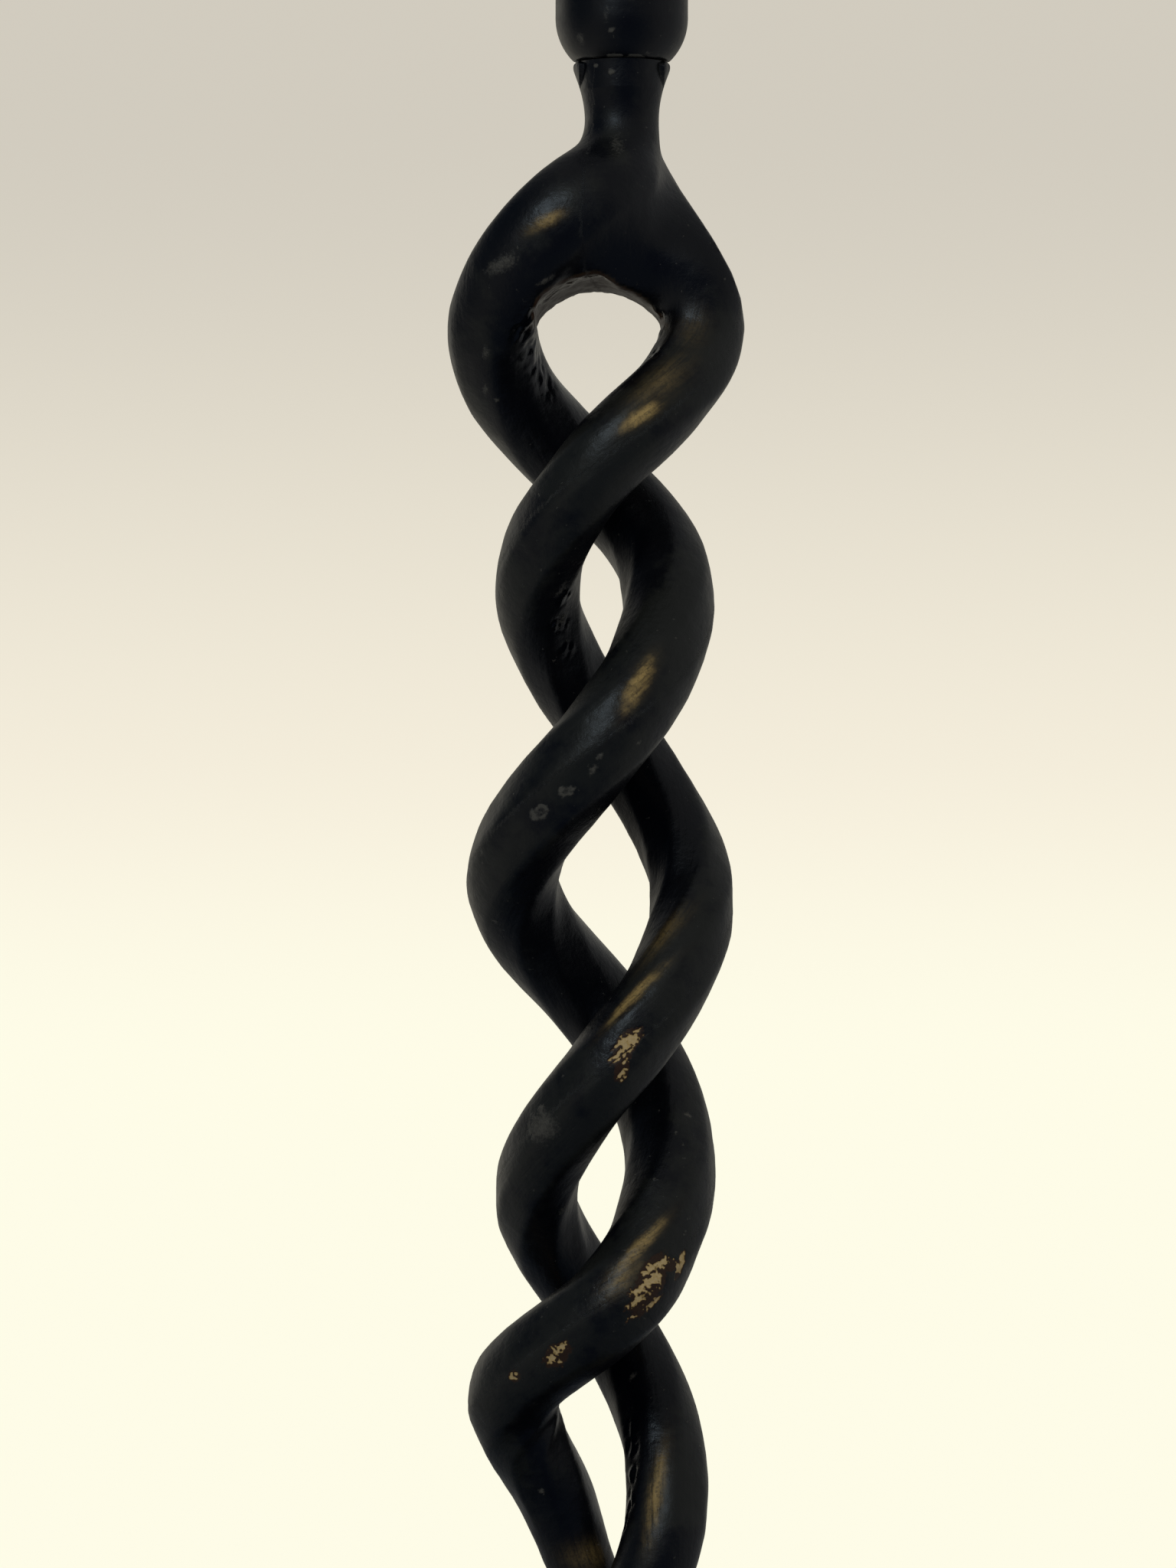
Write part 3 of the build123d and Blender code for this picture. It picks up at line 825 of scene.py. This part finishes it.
def inside_mark(places, normals, mark):
    """1 at the middle of an oval mark, 0 at its edge and less beyond it."""
    place, normal, along, length, width, _ = mark
    along = (along - along.dot(normal) * normal).normalized()
    offset = places - np.array(place)
    u, v = offset @ np.array(along) / length, offset @ np.array(normal.cross(along)) / width
    inside = 1 - np.sqrt(u * u + v * v)
    far = (abs(offset @ np.array(normal)) > max(length, 5 * MM)) | (normals @ np.array(normal) < 0)
    return np.where(far, FAR_OUTSIDE, inside)


def flake(places, normals, run, marks):
    """Where lacquer has flaked off: a patch of small bits inside each mark, drawn out along the wood's run."""
    bits = 0.62 * field(run, BIT_SIZE, seed=3) + 0.38 * field(places, CRUMB_SIZE, seed=4)
    lost = np.zeros(len(places))
    for mark in marks:
        inside = inside_mark(places, normals, mark)
        # A ring at the chip's edge: brown ground and a painted edge shadow
        ground_and_shadow = BROWN_GROUND_AND_SHADOW * rise(inside + 0.5 * bits, -0.3, 0.1)
        bare = rise(0.5 * np.clip(inside, -1, 0.4) + bits, 0.0, 0.34) * rise(inside, -0.5, -0.1)
        lost = np.maximum(lost, np.maximum(ground_and_shadow, bare) * mark[5])
    return lost


def soft_wear(places, normals, marks, size, seed, crisp):
    """A rubbed place: a haze round a core with a broken edge; crisp is the core's share."""
    patch = field(places, size, seed)
    worn = np.zeros(len(places))
    for mark in marks:
        inside = inside_mark(places, normals, mark)
        haze = np.exp(-1.6 * np.clip(1 - inside, 0, 9) ** 2) * (1 + 0.35 * patch)
        core = rise(inside + 0.4 * patch, -0.2, 0.5)
        share = crisp * rise(mark[5], 0.45, 0.85)
        worn = np.maximum(worn, ((1 - share) * haze + share * core) * (inside > -2) * mark[5])
    return np.clip(worn, 0, 1)


def rims(places, normals, marks):
    """Old knots under the lacquer: a pale broken ring round a duller middle."""
    patch = field(places, KNOT_SIZE, seed=14)
    seen = np.zeros(len(places))
    for mark in marks:
        inside = inside_mark(places, normals, mark) + 0.3 * patch
        ring = np.exp(-(((inside - 0.25) / 0.22) ** 2)) * (0.7 + 0.9 * patch)
        seen = np.maximum(seen, (ring + 0.4 * rise(inside, 0.0, 0.5)) * mark[5])
    return np.clip(seen, 0, 1)


print("wear:", len(chips), "chips,", len(rubs), "rubs,", len(scuffs), "scuffs,", len(knots), "knots")

# %% [markdown]
# ## The sawn arch and the split collar
# The arch over the first opening was sawn, and opens out to the front on its upper left with a rough underside that
# the lacquer hardly covers. The front of the collar has split off between two upright breaks. Both are cuts, so
# points on the wrong side of the cut simply move onto it. A boolean would cut as well, but would spoil the even mesh.

# %% Saw the arch and split the collar
ARCH_BEVEL, BEVEL_DEGREES, BEVEL_SOFT = 2.6 * MM, (92, 134), 20
SPLIT_HALF_WIDTH, SPLIT_FOOT, SPLIT_RADIUS, SPLIT_RISE = 10.2 * MM, 440 * MM, 9.9 * MM, 0.06
SPLIT_FRONT, SPLIT_RAGGED, SPLIT_SIZE = -0.8 * MM, 0.05 * MM, 3 * MM


def arch_cut(places):
    """How far each point lies outside the sawn arch, which opens out to the front on its upper left."""
    u, v = places[:, 0] - ARCH_MIDDLE, places[:, 2] - ARCH_HEIGHT
    bevel = ARCH_BEVEL * between(np.degrees(np.arctan2(v, u)), *BEVEL_DEGREES, BEVEL_SOFT)
    return np.hypot(u, v) - ARCH_RADIUS - bevel * rise(-places[:, 1], -8 * MM, 16 * MM), bevel


def open_arch(places):
    """Cuts the arch's bevel: points that lie inside it go out to its face."""
    out = places - np.array([ARCH_MIDDLE, 0, ARCH_HEIGHT])
    out[:, 1] = 0
    outside, bevel = arch_cut(places)
    return places + unit(out) * np.clip(-outside, 0, bevel)[:, None]


def bare_arch(places):
    """1 on the arch's sawn underside, which the lacquer hardly covers, and 0 elsewhere."""
    under = 1 - rise(arch_cut(places)[0], 0.3 * MM, 1.0 * MM)
    return under * rise(places[:, 2], ARCH_HEIGHT + 6 * MM, ARCH_HEIGHT + 12 * MM)


def split_collar(places):
    """The front of the collar is lost between two upright breaks, back to the thickness of the neck."""
    x, y, z = places.T
    radius = np.hypot(x, y)
    front = (y < SPLIT_FRONT) & (abs(x) < SPLIT_HALF_WIDTH) & (z > SPLIT_FOOT)
    limit = SPLIT_RADIUS + SPLIT_RISE * (z - SPLIT_FOOT) + SPLIT_RAGGED * field(places, SPLIT_SIZE, seed=8)
    keep = np.where(front & (radius > limit), limit / np.maximum(radius, 1e-9), 1)
    return np.stack([x * keep, y * keep, z], 1)


print("points on the arch's underside:", int(bare_arch(points_of(stem.data)[0]).sum()))

# %% [markdown]
# ## Carving
# Now the surface is worked as the maker worked it. Broad slow waves are the carver's hand; flats along the strands
# are the gouge; the openings keep their rough cuts. Bump in the material could hint at these, but would leave the
# outline smooth, so the points themselves move, along the surface's own normal. Each point also stores what the
# finish needs to know: how worn it is; whether it faces out, where polishing has thinned the lacquer and a sheen
# is painted; and whether it faces in, where a painted sheen lies on faces that look up and right and a painted
# shade dulls the mirror of faces that look left.

# %% Carve the stem
WAVE, WAVE_SIZE = 0.5 * MM, 26 * MM
DIMPLE, DIMPLE_SIZE = 0.16 * MM, 8 * MM
FLATS, FLAT_DEPTH, FLAT_SOFT = 7, 0.65 * MM, 0.03
FLAT_DRIFT, FLAT_CHANGE = 45 * MM, 30 * MM
ROUGH, ROUGH_SIZE, ROUGH_DRAWN = 0.6 * MM, 1.8 * MM, np.array([1, 1, 0.4])
SAW_SIZE, SAW_DRAWN = 1.6 * MM, np.array([0.3, 1, 1])
RUB_SIZE, SCUFF_SIZE, THIN_PAINTED_SHEEN_SIZE = 2.2 * MM, 1.2 * MM, 4 * MM
CHIP_DEPTH, SCUFF_DEPTH, GRAIN_DRAWN = 0.28 * MM, 0.06 * MM, 0.45


def tool_marks(places, which, angle, carved, twist, rough):
    """How far the carver's waves, flats and rough cuts stand out."""
    waves = WAVE * field(places, WAVE_SIZE, seed=1) - DIMPLE * abs(field(places, DIMPLE_SIZE, seed=2))
    phase = 1.3 * field(places, FLAT_DRIFT, seed=9) + 2 * which
    ridges = np.sqrt(np.cos(FLATS / 2 * angle + phase) ** 2 + FLAT_SOFT)
    depth = FLAT_DEPTH * (0.65 + 0.5 * field(places, FLAT_CHANGE, seed=10))
    cuts = field(places * ROUGH_DRAWN, ROUGH_SIZE, seed=7) - abs(field(places, 2.5 * ROUGH_SIZE, seed=13))
    return (0.3 + 0.7 * carved) * waves - twist * depth * (ridges - 0.5) + ROUGH * rough * cuts


def stem_wear(places, normals, run, under):
    """Where the stem's lacquer is chipped, rubbed and scuffed; the arch's sawn underside hardly holds any."""
    sawn = under * np.clip(0.4 + 0.9 * field(places * SAW_DRAWN, SAW_SIZE, seed=12), 0, 1)
    # The arch's underside gets the dark brown of the chips' rim: brown ground and painted shade
    lost = np.maximum(flake(places, normals, run, chips), BROWN_GROUND_AND_SHADOW * under)
    worn = np.maximum(soft_wear(places, normals, rubs, RUB_SIZE, 5, 0.45), 0.2 * sawn)
    scuffed = np.maximum(soft_wear(places, normals, scuffs, SCUFF_SIZE, 6, 0.2), rims(places, normals, knots))
    return {"chip": lost, "rub": worn, "scuff_and_highlight": np.maximum(scuffed, 0.4 * sawn)}


def carve_stem(piece):
    mesh = piece.data
    places, normals = points_of(mesh)
    height = places[:, 2]
    carved = rise(height, TURNED_FOOT, TURNED_FOOT + 12 * MM) * (1 - rise(height, TURNED_TOP - 6 * MM, TURNED_TOP))
    twist = between(height, TWIST_LOW, TWIST_HIGH, 10 * MM)
    rough = 1 - rise(apart(places, rough_spots), 0.3, 1)
    places = open_arch(places)
    which, along, angle = strand_places(places, strand_middles)
    around = angle * STRAND_RADIUS + which
    under = bare_arch(places)
    masks = stem_wear(places, normals, np.stack([GRAIN_DRAWN * along, around, 0 * along], 1), under)
    push = tool_marks(places, which, angle, carved, twist, np.maximum(rough, 0.4 * under))
    push -= CHIP_DEPTH * masks["chip"] + SCUFF_DEPTH * masks["scuff_and_highlight"]
    outward = (normals * unit(places * np.array([1, 1, 0]) + 1e-9)).sum(1)
    # Outer faces: lacquer thinned by polish, and a painted sheen, a lighter warm tone where the light falls
    polished_painted_sheen = rise(outward, 0.1, 0.7) * twist * (1 - rough)
    inner = rise(-outward, -0.2, 0.4) * twist
    masks["rough"] = rough
    masks["thinned_and_painted_sheen"] = np.maximum(polished_painted_sheen, soft_wear(places, normals, thin_painted_sheen_places, THIN_PAINTED_SHEEN_SIZE, 15, 0))
    # A painted sheen on inner faces that look up and right
    masks["inner_painted_sheen"] = inner * rise(normals[:, 2], -0.5, 0.3) * rise(normals[:, 0], 0.0, 0.3)
    # A painted shade: inner faces that look left, where the other strand shades them, mirror less
    masks["painted_shade"] = inner * rise(-normals[:, 0], 0.0, 0.4)
    move_points(mesh, split_collar(places + normals * push[:, None]))
    for name, values in masks.items():
        paint(mesh, name, values)
    paint_run(mesh, along, around)


carve_stem(stem)
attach(stem, "stick")
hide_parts("twist_stem")
print("stem carved")

# %% [markdown]
# ## Shared effects for the lacquer
# The stem, the cup and the base share one finish but not one history, so its two effects are node groups with
# named inputs. The first is the finish itself: a black that drifts between cold and warm, with a gloss that
# drifts too; it is warmer and lighter on outer faces and listed places, for thinner lacquer and as a painted
# sheen where the light falls. The second is wear: it takes the finish and lays rubbed, scuffed and chipped places
# over it, with a painted edge shadow round the chips and a painted highlight along the cup's lower edge.

# %% Build the lacquer groups
# Scuffs, and the painted highlight along the cup's lower edge
SCUFF_AND_HIGHLIGHT_GREY = (0.15, 0.138, 0.11, 1)
# Rim round chips: brown ground and a painted edge shadow
RIM_BROWN_AND_SHADOW = (0.045, 0.02, 0.008, 1)
UNSET = (0, 0, 0, 1)
BRUSHED, STREAKS = (30.0, 700.0, 1), (110.0, 900.0, 1)
SPECK_SCALE, FLECK_SCALE, MIDDLE_SCALE = 1400.0, 650.0, 5.0
LOOK = (("Color", COLOUR), ("Roughness", FLOAT), ("Height", FLOAT))
MASKS = ("Rub", "Scuff_and_highlight", "Chip", "Rough")


def streaked(tree, drawn):
    """Noise drawn out along the run of the wood."""
    run = add(tree, "ShaderNodeAttribute", attribute_name="run").outputs["Vector"]
    return cloud(tree, vector_maths(tree, "MULTIPLY", run, drawn)[0], 1.0, 4.0, 0.6)


def lacquer_group():
    colours = [(name, COLOUR, UNSET) for name in ("Cold", "Warm")]
    scales = [("Thinned and painted sheen", FLOAT, 0.0), ("Clouds", FLOAT, 60.0), ("Grain", FLOAT, 900.0)]
    tree, given, made = new_group("black_lacquer", colours + scales, LOOK)
    brushed = streaked(tree, BRUSHED)
    place = object_place(tree)
    broad = cloud(tree, place, given["Clouds"], 4.0)
    middle = cloud(tree, place, times(tree, given["Clouds"], MIDDLE_SCALE), 4.0, 0.6)
    fine = cloud(tree, place, given["Grain"], 2.0)
    # Warmer and lighter on outer faces and listed places: thinner lacquer and a painted sheen where light falls
    warmth = times(tree, middle, 0.5, times(tree, given["Thinned and painted sheen"], 0.3, broad))
    drift = stepped(tree, warmth, 0.82, 1.1)
    gloss = times(tree, middle, 0.16, times(tree, broad, 0.24, 0.04))
    gloss = times(tree, fine, 0.1, times(tree, brushed, 0.1, gloss))
    pits = times(tree, middle, 0.9, times(tree, broad, 0.5, times(tree, fine, 0.2)))
    pits = times(tree, brushed, 0.3, pits)
    colour = mixed(tree, drift, given["Cold"], given["Warm"])
    fill(tree, made, {"Color": colour, "Roughness": gloss, "Height": pits})
    return tree


def wear_and_painted_light_group():
    colours = [(name, COLOUR, UNSET) for name in ("Color", "Rubbed", "Bare")]
    values = [(name, FLOAT, 0.0) for name in ("Roughness", "Height") + MASKS]
    tree, given, made = new_group("handled_wear_and_painted_light", colours + values, LOOK)
    place = object_place(tree)
    chip = given["Chip"]
    specks = cloud(tree, place, SPECK_SCALE, 3.0, 0.7)
    grains = times(tree, stepped(tree, specks, 0.3, 0.55), 0.55, 0.45)
    broken = times(tree, given["Rub"], times(tree, grains, stepped(tree, streaked(tree, STREAKS), 0.2, 0.6)))
    flecks = times(tree, stepped(tree, cloud(tree, place, FLECK_SCALE, 2.0), 0.7, 0.78), 0.5)
    grey_share = stepped(tree, times(tree, specks, 0.9, given["Scuff_and_highlight"]), 0.62, 1.15)
    grey_share = maths(tree, "MAXIMUM", grey_share, flecks)
    rubbed = mixed(tree, broken, given["Color"], given["Rubbed"])
    # Scuffed grey; on the cup's lower edge this is a painted highlight
    scuffed = mixed(tree, times(tree, grey_share, 0.75), rubbed, SCUFF_AND_HIGHLIGHT_GREY)
    bare = mixed(tree, stepped(tree, specks, 0.4, 0.75), given["Bare"], given["Rubbed"])
    # A dark brown rim round chips: brown ground and a painted edge shadow
    rim = mixed(tree, stepped(tree, chip, 0.05, 0.28), scuffed, RIM_BROWN_AND_SHADOW)
    ground_and_shadow = mixed(tree, times(tree, stepped(tree, chip, 0.4, 0.7), 0.7), rim, given["Rubbed"])
    colour = mixed(tree, stepped(tree, chip, 0.65, 0.95), ground_and_shadow, bare)
    rough = times(tree, given["Rough"], -0.2, times(tree, grey_share, 0.22, given["Roughness"]))
    rough = times(tree, chip, 0.35, rough)
    grit = times(tree, specks, maths(tree, "MAXIMUM", chip, grey_share))
    height = times(tree, grit, 0.8, given["Height"])
    fill(tree, made, {"Color": colour, "Roughness": rough, "Height": height})
    return tree


lacquer_effect, wear_and_painted_light_effect = lacquer_group(), wear_and_painted_light_group()
print("groups:", lacquer_effect.name, wear_and_painted_light_effect.name)

# %% [markdown]
# ## The black finish
# The finish is a thin black lacquer over wood. It is nearly black, a little blue where it is whole, with the soft
# sheen of old polish. Outer faces and some ridges are a little olive, warmer and lighter: lacquer worn thin, and a
# painted sheen where the light falls. Between the strands a painted shade dulls the mirror of faces that look left,
# and a painted pale sheen lies on inner faces that look up and right. Where hands have rubbed it, an ochre ground
# shows; where it has flaked, the pale wood does, in a dark brown rim of ground and painted edge shadow. One
# function makes the carved and the turned version of it.

# %% Make the black finishes
OCHRE = (0.72, 0.48, 0.16, 1)
# Tint of the painted sheen on inner faces that look up and right
PAINTED_SHEEN_TINT = (0.62, 0.6, 0.53, 1)
PALE_WOOD = (0.85, 0.62, 0.30, 1)
COLD_BLACK = (0.0018, 0.0024, 0.0045, 1)
WARM_BLACK = (0.0165, 0.0172, 0.0138, 1)


def attribute(tree, name):
    return add(tree, "ShaderNodeAttribute", attribute_name=name).outputs["Fac"]


def black_finish(name, clouds, grain, relief):
    material, tree, shader = new_material(name)
    recipe = {"Cold": COLD_BLACK, "Warm": WARM_BLACK, "Clouds": clouds, "Grain": grain}
    # Outer faces and listed places: thinner lacquer and a painted sheen
    recipe["Thinned and painted sheen"] = attribute(tree, "thinned_and_painted_sheen")
    lacquer = add(tree, "ShaderNodeGroup", recipe, node_tree=lacquer_effect).outputs
    history = {mask: attribute(tree, mask.lower()) for mask in MASKS}
    history |= {socket: lacquer[socket] for socket, _ in LOOK}
    history |= {"Rubbed": OCHRE, "Bare": PALE_WOOD}
    worn = add(tree, "ShaderNodeGroup", history, node_tree=wear_and_painted_light_effect).outputs
    look = {
        "Base Color": worn["Color"],
        "Roughness": worn["Roughness"],
        "Normal": bumped(tree, worn["Height"], relief, 0.8),
        # A painted shade: inner faces that look left mirror less
        "Specular IOR Level": times(tree, attribute(tree, "painted_shade"), -0.38, 0.5),
        # A painted sheen on inner faces that look up and right
        "Sheen Weight": attribute(tree, "inner_painted_sheen"),
        "Sheen Tint": PAINTED_SHEEN_TINT,
        "Sheen Roughness": 0.35,
    }
    fill(tree, shader, look)
    return material


carved_black = black_finish("carved_black_lacquer", 55.0, 800.0, 0.28 * MM)
turned_black = black_finish("turned_black_lacquer", 45.0, 700.0, 0.14 * MM)
stem.data.materials.append(carved_black)
print("finishes:", carved_black.name, turned_black.name)

# %% [markdown]
# ## The turned pieces
# Cup, riser and foot came off a lathe, so they are truer than the stem, but old turned wood is never crisp: its
# edges are worn round and dented, and the lacquer has gone from the beads first. They get the same treatment as
# the stem in a lighter form. How far a point stands out from its neighbours tells where an edge is.

# %% Wear the turned pieces
TURNED = (
    # solid, piece, voxel, rounds of softening, edge wear
    ("candle_cup", "turned_cup", 0.5 * MM, 3, 0.5),
    ("base_riser", "turned_riser", 0.75 * MM, 4, 0.8),
    ("base_foot", "turned_foot", 0.9 * MM, 5, 0.9),
)
DENT_DEPTH, LOST_DEPTH, LATHE_WAVE = 0.35 * MM, 0.12 * MM, 0.05 * MM
# The cup's low front, refined below this height, and the span of the painted highlight along its lower edge
CUP_EDGE, CUP_HIGHLIGHT_SPAN = 450.5 * MM, (-3 * MM, 5 * MM)


def sharpness(places, normals, edges):
    """How far each point stands out from the ring of its neighbours, spread over a small patch."""
    stand = ((places - near_mean(places, edges)) * normals).sum(1)
    return smoothed(stand[:, None], edges, 3, 0.6)[:, 0]


def cup_scuffs_and_highlight(mesh, places, normals):
    """The scuffs that the picture shows on the cup, and a painted highlight: a pale line along its lower edge."""
    marks = picture_marks(tree_of(mesh), CUP_SCUFFS)
    above = places[:, 2] - places[:, 2].min()
    # A painted highlight: a pale line along the cup's lower edge
    line = (1 - rise(above, 0.3 * MM, 0.6 * MM)) * between(places[:, 0], *CUP_HIGHLIGHT_SPAN, 1 * MM) * (places[:, 1] < 0)
    line *= rise(field(places, 2 * MM, seed=26), -0.6, 0)
    return np.maximum(soft_wear(places, normals, marks, SCUFF_SIZE, 6, 0.2), line)


def turned_piece(node, name, voxel, rounds, edge_wear):
    piece = blank(node, name, voxel)
    mesh = piece.data
    move_points(mesh, smoothed(points_of(mesh)[0], edges_of(mesh), rounds, 0.5))
    if node == "candle_cup":
        refine(mesh, lambda places: (places[:, 2] < CUP_EDGE) & (places[:, 1] < 0), 1)
    edges = edges_of(mesh)
    places, normals = points_of(mesh)
    edge = rise(sharpness(places, normals, edges), 0.02 * voxel, 0.12 * voxel)
    patches = field(places, 9 * MM, seed=21)
    dents = rise(field(places, 5 * MM, seed=22), 0.35, 0.75) * edge
    broken = edge * (0.5 + 0.6 * field(places, 3 * MM, seed=23))
    lost = rise(broken, 0.62, 0.78) * rise(patches, 0.0, 0.35) * edge_wear
    worn = edge * rise(patches, -0.15, 0.5) * edge_wear
    scuffed = rise(field(places, 4 * MM, seed=24) + 0.4 * patches, 0.55, 0.9) * 0.5
    push = LATHE_WAVE * field(places, 16 * MM, seed=25) - DENT_DEPTH * dents * edge_wear - LOST_DEPTH * lost
    move_points(mesh, places + normals * push[:, None])
    if node == "candle_cup":
        # The cup's scuffs and its painted highlight join the scuff mask
        scuffed = np.maximum(scuffed, cup_scuffs_and_highlight(mesh, places, normals))
    for label, values in (("chip", lost), ("rub", worn), ("scuff_and_highlight", scuffed)):
        paint(mesh, label, values)
    out = np.hypot(places[:, 0], places[:, 1])
    paint_run(mesh, np.arctan2(places[:, 1], places[:, 0]) * out, places[:, 2] - out)
    mesh.materials.append(turned_black)
    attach(piece, "stick")
    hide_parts(node)
    return piece


turned = [turned_piece(*row) for row in TURNED]
print("turned pieces:", [(p.name, len(p.data.vertices)) for p in turned])

# %% [markdown]
# ## Brass, steel and beech
# The liner is spun from sheet brass, so fine rings run round it and its colour has gone uneven. The screw and
# its washer are zinc plated, and the dowel is plain beech; all three are inside the holder. Their solids have
# the right shape, so they stay, and only their materials are made here. The rings of the brass and the lathe's
# marks come from the distance to the axis and the height, which makes noise turn into rings.

# %% Make the small pieces' materials
BRASS_BRIGHT, BRASS_DULL = (0.72, 0.50, 0.19, 1), (0.42, 0.27, 0.09, 1)
ZINC_BRIGHT, ZINC_DULL = (0.58, 0.58, 0.57, 1), (0.42, 0.42, 0.40, 1)
BEECH_DARK, BEECH_PALE = (0.52, 0.36, 0.19, 1), (0.68, 0.51, 0.31, 1)
BEECH_DRAWN, BEECH_SCALE = (1, 1, 0.06), 900.0


def ring_group():
    tree, given, made = new_group("turning_rings", [("Rings", FLOAT, 900.0)], [("Height", FLOAT)])
    xyz = add(tree, "ShaderNodeSeparateXYZ", {"Vector": object_place(tree)}).outputs
    square = times(tree, xyz["X"], xyz["X"], times(tree, xyz["Y"], xyz["Y"]))
    ring = add(tree, "ShaderNodeCombineXYZ", {"X": maths(tree, "SQRT", square), "Y": xyz["Z"]}).outputs[0]
    fill(tree, made, {"Height": cloud(tree, ring, given["Rings"], 2.0)})
    return tree


def metal(name, bright, painted_shade, clouds, rings, rough):
    material, tree, shader = new_material(name)
    stain = stepped(tree, cloud(tree, object_place(tree), clouds, 4.0), 0.4, 0.7)
    turning = add(tree, "ShaderNodeGroup", {"Rings": rings}, node_tree=ring_effect).outputs["Height"]
    look = {"Base Color": mixed(tree, stain, bright, painted_shade), "Roughness": times(tree, stain, 0.2, rough)}
    fill(tree, shader, look | {"Normal": bumped(tree, turning, 0.05 * MM, 0.6), "Metallic": 1.0})
    return material


def beech():
    material, tree, shader = new_material("bare_beech")
    drawn = add(tree, "ShaderNodeMapping", {"Vector": object_place(tree), "Scale": BEECH_DRAWN}).outputs[0]
    grain = cloud(tree, drawn, BEECH_SCALE, 4.0)
    colour = mixed(tree, grain, BEECH_DARK, BEECH_PALE)
    fill(tree, shader, {"Base Color": colour, "Roughness": times(tree, grain, 0.2, 0.55)})
    return material


def finish_node(node, material):
    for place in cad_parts[node].material_slots:
        place.material = material


ring_effect = ring_group()
spun_brass = metal("spun_brass", BRASS_BRIGHT, BRASS_DULL, 90.0, 1500.0, 0.24)
zinc = metal("zinc_plate", ZINC_BRIGHT, ZINC_DULL, 300.0, 2500.0, 0.3)
finish_node("candle_liner", spun_brass)
finish_node("base_screw", zinc)
finish_node("base_washer", zinc)
finish_node("cup_dowel", beech())
print("metals and beech done")

# %% [markdown]
# ## The felt
# A disc of felt is glued under the foot so that it can't scratch a table, and hides the screw. Felt is a mat of
# fibres with no weave: a soft, slightly uneven sheet with a fuzzy cut edge. It is a thin closed disc here, with
# its edge and underside ruffled a little, and a material of fine tangled noise with some sheen.

# %% Lay the felt
FELT_RADIUS, FELT_THICK = 59 * MM, 2 * MM
FELT_RINGS, FELT_SIDES, FELT_FRAYED, FELT_RUFFLE = 30, 180, 0.35 * MM, 0.12 * MM
FELT_DARK, FELT_PALE, FELT_WORN = (0.012, 0.035, 0.02, 1), (0.05, 0.13, 0.075, 1), (0.06, 0.10, 0.07, 1)


def felt_material():
    material, tree, shader = new_material("glued_felt")
    place = object_place(tree)
    fibres = cloud(tree, place, 1800.0, 5.0, 0.75)
    worn = stepped(tree, cloud(tree, place, 60.0, 3.0), 0.5, 0.8)
    green = mixed(tree, fibres, FELT_DARK, FELT_PALE)
    look = {"Base Color": mixed(tree, worn, green, FELT_WORN), "Roughness": times(tree, fibres, 0.15, 0.82)}
    fill(tree, shader, look | {"Normal": bumped(tree, fibres, 0.3 * MM, 0.9), "Sheen Weight": 0.4})
    return material


def make_felt():
    rings = [FELT_RADIUS * i / FELT_RINGS for i in range(1, FELT_RINGS + 1)]
    outline = [(0, 0)] + [(r, 0) for r in rings] + [(FELT_RADIUS, FELT_THICK / 2)]
    outline += [(r, FELT_THICK) for r in reversed(rings)] + [(0, FELT_THICK)]
    felt = lathe("felt_disc", outline, FELT_SIDES)
    mesh = felt.data
    places, _ = points_of(mesh)
    out = np.hypot(places[:, 0], places[:, 1])
    cut = rise(out, 0.96 * FELT_RADIUS, FELT_RADIUS)
    ragged = 1 + cut * FELT_FRAYED * (field(places, 3 * MM, seed=31) - 0.6) / np.maximum(out, 1e-6)
    places[:, :2] *= ragged[:, None]
    under = places[:, 2] < FELT_THICK / 4
    places[under, 2] += FELT_RUFFLE * (1 + field(places[under], 4 * MM, seed=32))
    move_points(mesh, places)
    mesh.materials.append(felt_material())
    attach(felt, "stick")
    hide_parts("felt_pad")
    return felt


felt = make_felt()
print("felt:", len(felt.data.vertices), "points")
